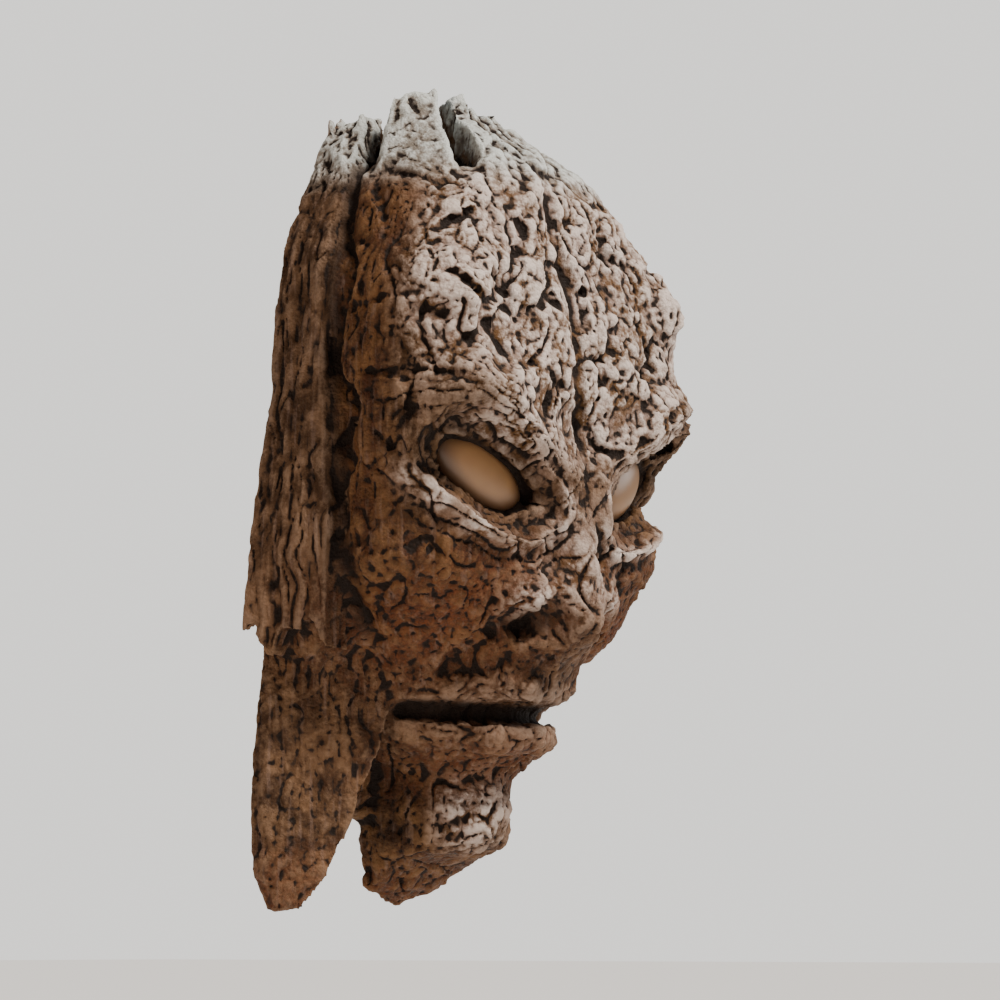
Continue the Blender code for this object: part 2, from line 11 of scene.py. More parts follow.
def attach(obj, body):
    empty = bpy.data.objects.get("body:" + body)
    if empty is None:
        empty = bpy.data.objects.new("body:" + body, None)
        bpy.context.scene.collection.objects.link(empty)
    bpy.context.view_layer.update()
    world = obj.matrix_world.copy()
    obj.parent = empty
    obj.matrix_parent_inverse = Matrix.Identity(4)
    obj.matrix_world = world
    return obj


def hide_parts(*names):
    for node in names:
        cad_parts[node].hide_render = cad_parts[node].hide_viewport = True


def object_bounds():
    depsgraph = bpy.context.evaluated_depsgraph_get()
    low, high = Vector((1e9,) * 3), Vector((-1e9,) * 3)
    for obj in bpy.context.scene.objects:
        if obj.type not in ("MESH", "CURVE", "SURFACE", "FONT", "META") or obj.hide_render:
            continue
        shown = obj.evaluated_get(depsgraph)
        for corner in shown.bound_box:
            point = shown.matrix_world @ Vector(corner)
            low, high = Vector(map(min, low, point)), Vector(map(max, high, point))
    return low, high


bl_info = {
    "name": "Tree Face",
    "version": (1, 0, 0),
    "blender": (4, 5, 0),
    "location": "View3D > Sidebar > Tree Face",
    "description": "Builds the painted bark face, its eyes and the studio round it",
    "category": "Add Mesh",
}

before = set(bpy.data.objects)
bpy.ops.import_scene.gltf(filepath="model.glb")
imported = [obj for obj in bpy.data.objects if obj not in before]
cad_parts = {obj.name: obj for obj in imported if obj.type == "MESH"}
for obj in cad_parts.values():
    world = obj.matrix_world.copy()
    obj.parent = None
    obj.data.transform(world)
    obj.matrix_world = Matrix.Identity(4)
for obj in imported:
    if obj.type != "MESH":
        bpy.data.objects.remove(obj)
CAD_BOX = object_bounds()
MM = 0.001
BODY = "root"

# Main sizes, and what one drawn millimetre becomes across the face, out from the back and up
FACE_WIDTH = 0.236
FACE_DEPTH = 0.122
FACE_HEIGHT = 0.386
SIDE = FACE_WIDTH / 236.0
OUT = FACE_DEPTH / 122.0
UP = FACE_HEIGHT / 386.0

# Cast wall and fits
WALL = 0.010
EYE_WALL = 0.006
LEAST_CORE = 0.004
LEAST_BOARD = 0.002
CORE_BOTTOM = -272 * UP
EYE_CLEARANCE = 0.0003
LAND_HALF_HEIGHT = 22 * UP
BACK_STOCK = 0.008

# Levels down the face, measured from the fixing point
DOME_TOP = 38 * UP
PLATEAU_TOP = 36 * UP
EYE_LEVEL = -141 * UP
NOSE_TIP_LEVEL = -209 * UP
MOUTH_LEVEL = -248.5 * UP
CHIN_LEVEL = -298 * UP
JAW_BOTTOM = -341 * UP


def drawn(table, units):
    """A table of drawn millimetres in metres, each column with its own unit."""
    return {name: tuple(value * unit for value, unit in zip(row, units)) for name, row in table.items()}


def drawn_route(*points):
    return tuple((across * SIDE, up * UP) for across, up in points)


# Horizontal sections of the head: level, half width, depth at the middle, squareness
HEAD_SECTIONS = drawn({
    "dome top": (38, 51, 41, 3.0),
    "crown": (21, 62, 58, 2.8),
    "dome": (8, 74, 82, 2.6),
    "hairline": (-6, 80, 92, 3.0),
    "forehead": (-35, 92, 101, 3.8),
    "frontal": (-65, 98, 107, 4.2),
    "brow": (-100, 100, 112, 4.5),
    "eye": (-141, 102, 98, 4.0),
    "cheek": (-185, 105, 99, 3.3),
    "nostril": (-205, 88, 92, 3.0),
    "cheek foot": (-225, 78, 88, 1.8),
    "lip": (-240, 71, 84, 1.7),
    "mouth": (-248.5, 66, 80, 1.7),
    "lower lip": (-262, 58, 78, 1.7),
    "chin crease": (-277, 43, 53, 1.9),
    "chin": (-298, 40, 51, 2.2),
    "chin foot": (-313, 38, 48, 2.4),
    "jaw": (-319.5, 33, 24, 2.4),
    "jaw foot": (-327, 30, 12, 2.4),
    "jaw bottom": (-341, 24, 6, 2.2),
}, (UP, SIDE, OUT, 1.0))
SECTION_EASE = 4 * UP

# How far the jaw leans to the right side: level, shift
JAW_LEAN = drawn({
    "chin": (-305, 0),
    "jaw": (-319.5, -4),
    "jaw foot": (-327, -8),
    "jaw bottom": (-341, -14),
}, (UP, SIDE))

# The board of bark behind the face that carries the side strips:
# level, half width on the right, half width on the left, depth
BOARD_SECTIONS = drawn({
    "top": (38, 50, 50, 28),
    "crown": (-6, 68, 68, 28),
    "temple": (-50, 86, 86, 30),
    "eye": (-120, 94, 94, 34),
    "cheek": (-190, 104, 100, 36),
    "hollow": (-222, 100, 84, 32),
    "web": (-250, 84, 70, 18),
    "web foot": (-300, 76, 52, 10),
}, (UP, SIDE, SIDE, OUT))
BOARD_SQUARENESS = 6.0
BOARD_FOOT_FADE = 4 * UP

# Eyes: smooth lenses, tilted up at their outer ends
EYE_OUT = 50 * SIDE
EYE_FORWARD = 83 * OUT
EYE_HALF_LENGTH = 27 * SIDE
EYE_HALF_HEIGHT = 13.5 * UP
EYE_BULGE = 9 * OUT
EYE_SEAT_DEPTH = 4.5 * OUT
EYE_TILT = math.radians(31.0)
EYE_TURN = math.radians(14.0)

# Eye sockets: how far they reach each way from the eye's middle
SOCKET_OUTWARD = 44 * SIDE
SOCKET_INWARD = 31 * SIDE
SOCKET_ABOVE = 13 * UP
SOCKET_BELOW = 21.5 * UP
SOCKET_DEPTH = 14 * OUT
SOCKET_FLOOR_ABOVE = 0.90
SOCKET_FLOOR_BELOW = 0.45
SOCKET_EDGE = 1.08
RIM_PROUD = 8 * OUT
RIM_REACH = 1.32
RIM_WIDTH = 0.20
RIM_SLOPE = 0.3
RIM_FADE = (10 * UP, -12 * UP)
LEFT_NOTCH = (84 * SIDE, -150 * UP)
LEFT_NOTCH_SIZE = (16 * SIDE, 9 * UP)
LEFT_NOTCH_DEPTH = 14 * OUT

# Brows, nose, mouth and chin
BROW_ROUTE = drawn_route((13, -143), (34, -127), (60, -110), (80, -105), (98, -113))
BROW_PROUD = 13 * OUT
BROW_WIDTH = 13 * UP
NOSE_RIDGE = drawn({
    "root": (-116, 0, 9),
    "bridge": (-138, 4, 9),
    "under the bridge": (-150, 5, 10),
    "middle": (-165, 10, 12),
    "above the tip": (-190, 17, 15),
    "tip": (-209, 23, 16),
    "under the tip": (-220, 19, 15),
    "septum": (-228, 7, 12),
    "lip": (-235, 0, 10),
}, (UP, OUT, SIDE))
NOSE_ROUNDNESS = 2.6
NOSTRIL = (24 * SIDE, NOSE_TIP_LEVEL - 1 * UP)
NOSTRIL_SIZE = (9 * SIDE, 6.2 * UP)
NOSTRIL_DEPTH = 16 * OUT
WING = (29 * SIDE, -198 * UP)
WING_SIZE = (10 * SIDE, 8.5 * UP)
WING_PROUD = 9 * OUT
MOUTH_HALF_WIDTH = 55 * SIDE
MOUTH_HALF_GAP = 4.2 * UP
MOUTH_SAG = 2 * UP
MOUTH_DEPTH = 14 * OUT
MOUTH_END = (0.86, 1.06)
LIP_PROUD = 6 * OUT
UPPER_LIP_RISE = 11 * UP
UPPER_LIP_WIDTH = 5.5 * UP
UPPER_LIP_SHARE = 0.6
LOWER_LIP_DROP = 15.5 * UP
LOWER_LIP_WIDTH = 8 * UP
CHIN_PROUD = 5 * OUT
CHIN_SIZE = (18 * SIDE, 18 * UP)

# Side strips, from the crown down to the ragged step: level, half width at the back plane
STRIP_EDGE = drawn({
    "tip": (31, 60),
    "crown": (-8, 73),
    "temple": (-35, 89),
    "eye": (-95, 96),
    "cheek": (-162, 112),
    "step": (-216, 120),
}, (UP, SIDE))
LEFT_STRIP_SHORTER = 14 * UP
STRIP_PROUD = 3 * SIDE
STRIP_THICKNESS = 16 * SIDE
STRIP_FRONT_SPARE = 4 * SIDE
STRIP_RAG = (6 * UP, 4 * UP)
STRIP_SWELL = 0.25
STRIP_CORNER = 8
STRIP_CUTS = 60

# Lower planks: level, outer edge, inner edge, forward at the inner edge
RIGHT_PLANK = drawn({
    "top": (-206, 100, 64, 44),
    "step": (-226, 106, 61, 40),
    "mouth": (-250, 109, 57, 37),
    "lip": (-268, 111, 62, 35),
    "chin": (-300, 113, 73, 29),
    "jaw": (-325, 111, 82, 22),
    "tip": (-343, 101, 92, 12),
}, (UP, SIDE, SIDE, OUT))
LEFT_PLANK = drawn({
    "top": (-200, 96, 60, 44),
    "step": (-226, 87, 58, 36),
    "mouth": (-250, 74, 50, 24),
    "lip": (-270, 60, 36, 16),
    "chin": (-290, 50, 30, 12),
    "tip": (-306, 42, 26, 9),
}, (UP, SIDE, SIDE, OUT))
PLANK_OUTER_FORWARD = 6 * OUT
PLANK_ROUNDNESS = 0.8
PLANK_UNDERCUT = 14 * SIDE
PLANK_CUTS = 50

# Broken top of the crown by the angle round the face, from the right side to the left: angle, top level
CROWN_SKYLINE = drawn({
    "right strip": (-90, 27),
    "right strip end": (-71, 24),
    "first cleft": (-68, 12),
    "first cleft end": (-63, 14),
    "tall right": (-59, 41),
    "tall right end": (-37, 46),
    "gap": (-35, 13),
    "gap end": (-28, 12),
    "tall middle": (-26, 45),
    "tall middle end": (-19, 46),
    "nick": (-17, 32),
    "plate": (-14, 39),
    "plate end": (15, 33),
    "shoulder": (45, 26),
    "left temple": (90, 18),
}, (math.radians(1.0), UP))
SKYLINE_RAG = 1.8 * UP

# Bark plates and the grooves of the face
PLATE_STRETCH = 1.25
PLATE_WARP = 0.20
CRACK_SHARE = 0.16
SIDE_CRACK_SHARE = 0.6
SIDE_FADE = (50 * SIDE, 90 * SIDE)
FOREHEAD_FADE = (-150 * UP, -105 * UP)
CHEEK_PLATES = 0.55
PLATE_FRONT_FADE = (20 * OUT, 45 * OUT)
PLATE_SOCKET_FADE = (0.8, 1.25)
QUIET_MOUTH = (60 * SIDE, 20 * UP)
QUIET_MOUTH_SHARE = 0.7
MIDDLE_CRACK = drawn_route((-8, 4), (-11, -30), (-3, -62), (-7, -98), (1, -124))
MIDDLE_CRACK_DEPTH = 5 * OUT
MIDDLE_CRACK_WIDTH = 3.4 * SIDE
FRONTAL_LUMP = (78 * SIDE, -52 * UP)
FRONTAL_LUMP_SIZE = (18 * SIDE, 22 * UP)
FRONTAL_LUMP_PROUD = 13 * OUT
GROOVE_FORWARD = drawn({
    "top": (30, 24),
    "temple": (-35, 33),
    "eye": (-95, 37),
    "cheek": (-165, 44),
    "foot": (-215, 40),
}, (UP, OUT))
GROOVE_DEPTH = 6 * SIDE
GROOVE_WIDTH = 3.8 * OUT
GROOVE_FOOT_FADE = (-228 * UP, -216 * UP)
GROOVE_INNER_EDGE = 30 * SIDE
FOLD_ROUTE = drawn_route((30, -196), (40, -216), (50, -240))
FOLD_DEPTH = 5 * OUT
FOLD_WIDTH = 4.5 * SIDE
EAR_SLIT = -182 * UP
EAR_SLIT_SIZE = (6 * OUT, 14 * UP)
EAR_SLIT_DEPTH = 7.5 * SIDE
LUMP_SIZE = 0.034
LUMP_HEIGHT = 4 * OUT
LUMP_SPREAD = 100 * SIDE
FRONT_FADE = (6 * OUT, 30 * OUT)
FRONT_SHARE = 0.86
POLE_SHARE = 0.08

# Fineness of the meshes
HEAD_COLUMNS = 420
HEAD_RINGS = 400
BLEND_VOXEL = 1.3 * MM
LEAST_TRIANGLES = 10000
MOST_TRIANGLES = 192000
BACK_CUTTER_SPARE = 0.100
BACK_CUTTER_DEPTH = 0.050
CORE_COLUMNS = 88
CORE_RINGS = 64
CORE_MOUTH_FADE = (75 * UP, 45 * UP)
CORE_EYE_FADE = (54 * SIDE, 34 * SIDE)
CORE_SPARE = 2.5 * MM
POCKET_SEGMENTS = 64
LENS_SEGMENTS = 96
SHARP_FROM = 55.0

# Fine relief, and the roll of bark round each lens
NOISE_STEP = np.array((17.3, -9.1, 5.7))
PATCHES = (-0.20, 0.25)
PLATE_HEIGHT = 1.2 * MM
SWIRL = 4.5 * MM
DEEPEST_RELIEF = 3.0 * MM
RING_DEPTH = 0.0013
LENS_LIFT = 9 * MM
LENS_FRONT_FADE = (0.040, 0.060)
LID_HEIGHT = 2.6 * MM
LID_REACH = 1.50
LID_WIDTH = 0.27

# Where each kind of bark begins and is full
GROOVE_BLUR = 0.002
STRIP_FADE = (0.040, 0.060)
PLANK_TOP_FADE = (-0.212, -0.228)
PLANK_INNER_FADE = (0.046, 0.058)
PLANK_LEAN = 0.4
PLANK_LEAN_FROM = -0.25
CROWN_FADE = (-0.010, 0.012)
TEMPLE_FRONT_FADE = (0.080, 0.062)
TEMPLE_FOOT_FADE = (-0.200, -0.150)
RING_FADE = (2.3, 1.5)
RING_FRONT_FADE = (0.05, 0.07)

# Where each paint, painted highlight and painted shade goes: the middle of its patch, then half width and
# half height
TEMPLE_SHADE = ((0.090, -0.122), (0.024, 0.032))
NOSE_BRUSHING_AND_HIGHLIGHT = ((0.010, -0.180), (0.024, 0.030))
WING_BRUSHING_AND_HIGHLIGHT = (WING, (0.013, 0.009))
LIP_BRUSHING_AND_HIGHLIGHT = ((0.0, MOUTH_LEVEL), (0.060, 0.020))
CHIN_BRUSHING_AND_HIGHLIGHT = ((-0.012, CHIN_LEVEL), (0.024, 0.019))
CHEEK_GLAZE_AND_SHADE = ((0.055, -0.205), (0.045, 0.035))
UNDER_LIP_GLAZE_AND_SHADE = ((0.0, -0.275), (0.060, 0.020))
EDGE_SHADE_FADE = (0.50, 0.96)
NARROW_ROUNDS = 6
BROAD_ROUNDS = 40
NARROW_SPAN = 0.0012
BROAD_SPAN = 0.0050

# What counts as the bare back and hollow
BACK_SPARE = 0.5 * MM
HOLLOW_SPARE = 4 * MM
HOLLOW_FOOT_SPARE = 2 * MM
HOLLOW_DEEPEST = 64 * MM
BACKWARD = 0.35
INWARD = -0.1

# Paint and resin
MOTTLE_SIZE = 14 * MM
SPECK_SIZE = 2.2 * MM
STREAK_SIZE = 3.0 * MM
STREAK_STRETCH = 0.10
GRIT_SIZE = 1.7 * MM
GRIT_HEIGHT = 1.1 * MM
PAINT_GLOSS = 0.15
CLOUD_SIZE = 12 * MM
LENS_ROUGHNESS = 0.42
LENS_GLOW = 0.15
LENS_GLOW_REACH = (0.006, 0.003, 0.0015)

# Floor, camera and lights; a light's place is across the view, nearer the camera and up, from the face
FLOOR_BELOW = 100 * MM
FLOOR_HALF_WIDTH = 12.0
FLOOR_ROUGHNESS = 0.9
CAMERA_AZIMUTH = math.radians(-47.0)
CAMERA_DISTANCE = 2.2
CAMERA_ASIDE = 0.056
CAMERA_LEVEL = -0.355
CAMERA_SENSOR = 36.0
CAMERA_LENS = 165.0
MIDDLE_FORWARD = 0.055
SUN_PLACE = (0.85, 0.60, 1.40)
SUN_STRENGTH = 4.2
SUN_ANGLE = math.radians(9.0)
SUN_COLOUR = "#FFF6EC"
LAMPS = {
    "key": (SUN_PLACE, 0.26, 26.0, "#FFF1E0"),
    "fill": ((-1.2, 1.1, 0.0), 1.0, 7.0, "#FFCFA0"),
    "rim": ((1.2, -0.5, 0.5), 0.5, 6.0, "#FFFFFF"),
}
WORLD_COLOUR = "#EEF1F4"
WORLD_STRENGTH = 0.24
WALL_COLOUR = "#EDEBE7"
WALL_STRENGTH = 1.5


def length_property(name, description, metres):
    return bpy.props.FloatProperty(name=name, description=description, default=metres, unit="LENGTH")


def colour_property(name, description, hex_colour):
    return bpy.props.StringProperty(name=name, description=description, default=hex_colour)


class TreeFaceSizes(bpy.types.PropertyGroup):
    """Sizes of the fine relief in the bark."""

    plate_size: length_property("Bark plate", "Width of a bark plate on the forehead", 26 * MM)
    crack_depth: length_property("Crack depth", "Depth of the cracks between plates", 4.5 * MM)
    fibre_width: length_property("Fibre width", "Spacing of the wood fibres in the strips", 4.5 * MM)
    fibre_depth: length_property("Fibre depth", "Depth of the fissures between fibres", 1.6 * MM)
    knobble_size: length_property("Knobble size", "Size of the small knobbles of the bark", 5.0 * MM)
    knobble_height: length_property("Knobble height", "Height of the small knobbles", 0.9 * MM)


class TreeFaceColours(bpy.types.PropertyGroup):
    """Paint of the casting and colour of the eyes, as sRGB hex values."""

    # The crack colour darkens cracks and broad hollows, partly as a stain and partly as painted shade, and
    # is also the painted shade of the sockets, mouth, nostrils and grooves
    crack: colour_property("Cracks", "Stain left in the cracks", "#160D08")
    # Umber and brown wash fill where the brushing share is low, so the lower face and sides are darker
    # partly as painted shade
    umber: colour_property("Umber", "Darkest coat, low on the face", "#2A190C")
    wash: colour_property("Brown wash", "Wash in the hollows", "#53391F")
    middle: colour_property("Middle coat", "Coat on the flanks", "#78645A")
    bare: colour_property("Bare resin", "Unpainted resin of the back", "#6A5646")
    driftwood: colour_property("Driftwood", "Grey under the crown", "#716E68")
    # The dry brushing grey also stands for painted highlight on the front of the face
    tan: colour_property("Tan brushing", "Worn edges of the brown bark", "#725539")
    brushed: colour_property("Dry brushing", "Grey on the high points", "#B9ADA6")
    crown: colour_property("Crown", "Pale paint on the broken crown", "#B4BAB9")
    # The ruddy glaze is partly painted warm shade in the cheek hollows, under the lower lip, on the temples
    # and under the jaw
    ruddy: colour_property("Ruddy glaze", "Red brown glaze on the cheeks", "#5A2F18")
    amber: colour_property("Eyes", "Amber of the lenses", "#8F6A44")
    amber_cloud: colour_property("Eye clouds", "Deeper amber clouded into the lenses", "#7D5C3C")
    # Lens edges darkened as painted shade
    amber_edge_shade: colour_property("Eye edges", "Stain at the lens edge", "#4A3220")
    floor: colour_property("Floor", "Plain pale floor", "#FAF9F7")


def linear(hex_colour):
    """An sRGB hex colour as linear RGBA."""
    parts = [int(hex_colour[at : at + 2], 16) / 255.0 for at in (1, 3, 5)]
    rgb = [part / 12.92 if part <= 0.04045 else ((part + 0.055) / 1.055) ** 2.4 for part in parts]
    return (*rgb, 1.0)


def add_node(tree, kind, settings=None, links=None):
    """Adds a node; links maps an input's name or number to a socket or a value."""
    made = tree.nodes.new(kind)
    for name, value in (settings or {}).items():
        setattr(made, name, value)
    for key, value in (links or {}).items():
        socket = made.inputs[key]
        if isinstance(value, bpy.types.NodeSocket):
            tree.links.new(value, socket)
        else:
            socket.default_value = value
    return made


def new_material(name):
    made = bpy.data.materials.new(name)
    made.use_nodes = True
    tree = made.node_tree
    return made, tree, tree.nodes["Principled BSDF"]


def mesh_from(bm, name):
    mesh = bpy.data.meshes.new(name)
    bm.to_mesh(mesh)
    bm.free()
    return mesh


def get_points(mesh):
    points = np.empty(len(mesh.vertices) * 3)
    mesh.vertices.foreach_get("co", points)
    return points.reshape(-1, 3)


def get_normals(mesh):
    normals = np.empty(len(mesh.vertices) * 3)
    mesh.vertices.foreach_get("normal", normals)
    return normals.reshape(-1, 3)


def set_points(mesh, points):
    mesh.vertices.foreach_set("co", np.ascontiguousarray(points, dtype=np.float32).ravel())
    mesh.update()


def add_object(name, mesh):
    made = bpy.data.objects.new(name, mesh)
    bpy.context.scene.collection.objects.link(made)
    return made


def add_aimed(name, data, place, direction, axis):
    """Adds a camera or a light at a place, with its own axis along a direction."""
    made = add_object(name, data)
    made.location = place
    made.rotation_mode = "QUATERNION"
    made.rotation_quaternion = direction.to_track_quat(axis, "Y")
    return made


def eased(stations, column, z):
    """The stations' values against level, with the corners between them eased."""
    rows = sorted(stations.values())
    levels = [row[0] for row in rows]
    values = [row[column] for row in rows]
    total = np.zeros(z.shape)
    weights = 0.0
    for step in range(-4, 5):
        weight = math.exp(-((step / 2.0) ** 2))
        total += weight * np.interp(z + step * SECTION_EASE / 2.0, levels, values)
        weights += weight
    return total / weights


def smoothstep(low, high, value):
    t = np.clip((value - low) / (high - low), 0.0, 1.0)
    return t * t * (3.0 - 2.0 * t)


def superellipse(phi, half_width, depth, power):
    side = np.abs(np.sin(phi)) / half_width
    front = np.abs(np.cos(phi)) / depth
    return (side**power + front**power) ** (-1.0 / power)


def route_distance(x, z, route):
    """How far each point is from a route of straight stretches."""
    best = np.full(x.shape, FACE_HEIGHT)
    for (x0, z0), (x1, z1) in zip(route, route[1:]):
        length = math.hypot(x1 - x0, z1 - z0)
        t = np.clip(((x - x0) * (x1 - x0) + (z - z0) * (z1 - z0)) / length**2, 0.0, 1.0)
        best = np.minimum(best, np.hypot(x - x0 - t * (x1 - x0), z - z0 - t * (z1 - z0)))
    return best


def bump(x, z, at, size):
    """A rounded bump of height 1 at a place, with its half width and half height."""
    return np.exp(-(((x - at[0]) / size[0]) ** 2) - ((z - at[1]) / size[1]) ** 2)


def scaled(points, size, seed):
    """The points in lumps of the given size, moved to another part of the noise for each seed."""
    return points / np.asarray(size) + NOISE_STEP * seed


def noise_at(points, size, seed):
    """Smooth noise between -1 and 1 with lumps of the given size, one size or one for each axis."""
    return np.array([noise.noise(Vector(point)) for point in scaled(points, size, seed).tolist()])


def cells_at(points):
    """How far each point is from its cell's border, and a number that each cell keeps."""
    borders = np.empty(len(points))
    kept = np.empty(len(points))
    for index, point in enumerate(points.tolist()):
        near, seeds = noise.voronoi(Vector(point))
        borders[index] = near[1] - near[0]
        kept[index] = math.sin(seeds[0].x * 12.9 + seeds[0].y * 78.2 + seeds[0].z * 37.7)
    return borders, kept


def from_eye(x, z):
    """Each point's place from its eye's middle, along the eye's long axis and across it."""
    along_x = np.abs(x) - EYE_OUT
    along_z = z - EYE_LEVEL
    long_way = along_x * math.cos(EYE_TILT) + along_z * math.sin(EYE_TILT)
    short_way = along_z * math.cos(EYE_TILT) - along_x * math.sin(EYE_TILT)
    return long_way, short_way


def socket_place(x, z):
    """Distance from an eye's middle in socket half sizes, 1 at the rim, and how far above its long axis."""
    long_way, short_way = from_eye(x, z)
    half_length = np.where(long_way > 0.0, SOCKET_OUTWARD, SOCKET_INWARD)
    half_height = np.where(short_way > 0.0, SOCKET_ABOVE, SOCKET_BELOW)
    return np.hypot(long_way / half_length, short_way / half_height), short_way


def lens_reach(points):
    """Distance from an eye's middle in lens half sizes, 1 at the lens's edge, growing in front of it."""
    x, y, z = points.T
    long_way, short_way = from_eye(x, z)
    lifted = np.maximum((np.abs(x) - EYE_OUT) * math.tan(EYE_TURN) - y - EYE_FORWARD, 0.0)
    flat = np.hypot(long_way / EYE_HALF_LENGTH, short_way / EYE_HALF_HEIGHT)
    return np.hypot(flat, lifted / LENS_LIFT)


def socket_relief(x, z):
    reach, above = socket_place(x, z)
    floor = np.where(above > 0.0, SOCKET_FLOOR_ABOVE, SOCKET_FLOOR_BELOW)
    return -SOCKET_DEPTH * (1.0 - smoothstep(floor, SOCKET_EDGE, reach))


def mouth_relief(x, z):
    middle = MOUTH_LEVEL - MOUTH_SAG * np.cos(x / MOUTH_HALF_WIDTH * math.pi / 2.0)
    taper = 1.0 - smoothstep(MOUTH_END[0] * MOUTH_HALF_WIDTH, MOUTH_END[1] * MOUTH_HALF_WIDTH, np.abs(x))
    slit = np.exp(-(((z - middle) / MOUTH_HALF_GAP) ** 4))
    upper = np.exp(-(((z - middle - UPPER_LIP_RISE) / UPPER_LIP_WIDTH) ** 2))
    lower = np.exp(-(((z - middle + LOWER_LIP_DROP) / LOWER_LIP_WIDTH) ** 2))
    return taper * (LIP_PROUD * (UPPER_LIP_SHARE * upper + lower) - MOUTH_DEPTH * slit)


def nose_relief(x, z):
    height = eased(NOSE_RIDGE, 1, z)
    width = eased(NOSE_RIDGE, 2, z)
    ridge = height / (1.0 + (np.abs(x) / width) ** NOSE_ROUNDNESS)
    wings = WING_PROUD * bump(np.abs(x), z, WING, WING_SIZE)
    nostrils = -NOSTRIL_DEPTH * bump(np.abs(x), z, NOSTRIL, NOSTRIL_SIZE)
    return ridge + wings + nostrils


def brow_relief(x, z):
    distance = route_distance(np.abs(x), z, BROW_ROUTE)
    return BROW_PROUD * np.exp(-((distance / BROW_WIDTH) ** 2))


def rim_relief(x, z):
    reach, above = socket_place(x, z)
    below = smoothstep(*RIM_FADE, z - EYE_LEVEL - RIM_SLOPE * (np.abs(x) - EYE_OUT))
    return RIM_PROUD * np.exp(-(((reach - RIM_REACH) / RIM_WIDTH) ** 2)) * below


def front_relief(x, z):
    """How far the features stand forward of the head's plain sections."""
    total = socket_relief(x, z) + rim_relief(x, z) + brow_relief(x, z)
    total += nose_relief(x, z) + mouth_relief(x, z)
    total += CHIN_PROUD * bump(x, z, (0.0, CHIN_LEVEL), CHIN_SIZE)
    folds = route_distance(np.abs(x), z, FOLD_ROUTE)
    total -= FOLD_DEPTH * np.exp(-((folds / FOLD_WIDTH) ** 2))
    total += FRONTAL_LUMP_PROUD * bump(np.abs(x), z, FRONTAL_LUMP, FRONTAL_LUMP_SIZE)
    split = route_distance(x, z, MIDDLE_CRACK)
    total -= MIDDLE_CRACK_DEPTH * np.exp(-((split / MIDDLE_CRACK_WIDTH) ** 2))
    total -= LEFT_NOTCH_DEPTH * bump(x, z, LEFT_NOTCH, LEFT_NOTCH_SIZE)
    return total


def plates_at(points, size):
    """How deep in a crack each point is, from 0 on a plate to 1, and a number that each plate keeps."""
    stretched = points * np.array((1.0, 1.0, 1.0 / PLATE_STRETCH))
    warp = PLATE_WARP * noise_at(stretched, size * 0.6, 3.0)
    shifted = stretched / size + np.column_stack((warp, warp, 0.0 * warp))
    gaps, plates = cells_at(shifted)
    kept = smoothstep(*PATCHES, noise_at(points, size * 0.9, 4.0))
    cracked = 1.0 - smoothstep(0.0, CRACK_SHARE * (0.45 + 0.75 * kept), gaps)
    return cracked * (0.25 + 0.75 * kept), plates


def plate_share(x, z, forward):
    """Where the bark is cracked into plates: the forehead and brows, and less over the cheeks."""
    forehead = smoothstep(*FOREHEAD_FADE, z)
    reach, above = socket_place(x, z)
    quiet = smoothstep(*PLATE_SOCKET_FADE, reach) * smoothstep(*PLATE_FRONT_FADE, forward)
    quiet *= 1.0 - QUIET_MOUTH_SHARE * bump(x, z, (0.0, MOUTH_LEVEL), QUIET_MOUTH)
    return (forehead + CHEEK_PLATES * (1.0 - forehead)) * quiet


def section_reaches(phi, z, inset):
    """How far the head and the board behind it reach in each direction, every wall moved in by inset."""
    face = superellipse(
        phi,
        np.maximum(eased(HEAD_SECTIONS, 1, z) - inset, LEAST_CORE),
        np.maximum(eased(HEAD_SECTIONS, 2, z) - inset, LEAST_CORE),
        eased(HEAD_SECTIONS, 3, z),
    )
    board_side = np.where(phi < 0.0, eased(BOARD_SECTIONS, 1, z), eased(BOARD_SECTIONS, 2, z))
    board = superellipse(
        phi,
        np.maximum(board_side - inset, LEAST_BOARD),
        np.maximum(eased(BOARD_SECTIONS, 3, z) - inset, LEAST_BOARD),
        BOARD_SQUARENESS,
    )
    return face, board


def head_points(sphere_points, inset, top, bottom):
    """Moves the points of a unit sphere onto the head, with every wall moved in by inset."""
    azimuth = np.arctan2(sphere_points[:, 0], -sphere_points[:, 1]) / math.pi
    climb = np.arcsin(np.clip(sphere_points[:, 2], -1.0, 1.0)) / math.pi + 0.5
    z = bottom + (top - bottom) * climb
    turn = np.abs(azimuth)
    phi = np.sign(azimuth) * np.minimum(turn / FRONT_SHARE, 1.0) * math.pi / 2.0
    face, board = section_reaches(phi, z, inset)
    foot = BOARD_SECTIONS["web foot"][0] + inset
    board_here = smoothstep(foot - BOARD_FOOT_FADE, foot + BOARD_FOOT_FADE, z)
    board_here *= smoothstep(top, top - BOARD_FOOT_FADE, z)
    radius = np.maximum(face, board * board_here)
    pole = np.cos((climb - 0.5) * math.pi)
    edge = np.minimum(pole / POLE_SHARE, 1.0)
    radius *= edge
    x = radius * np.sin(phi)
    forward = radius * np.cos(phi)
    behind = np.clip((turn - FRONT_SHARE) / (1.0 - FRONT_SHARE), 0.0, 1.0)
    x = x * (1.0 - behind) + eased(JAW_LEAN, 1, z)
    forward = np.where(behind > 0.0, -BACK_STOCK * np.minimum(behind * 6.0, 1.0), forward)
    return x, forward, z, skyline(phi, edge)


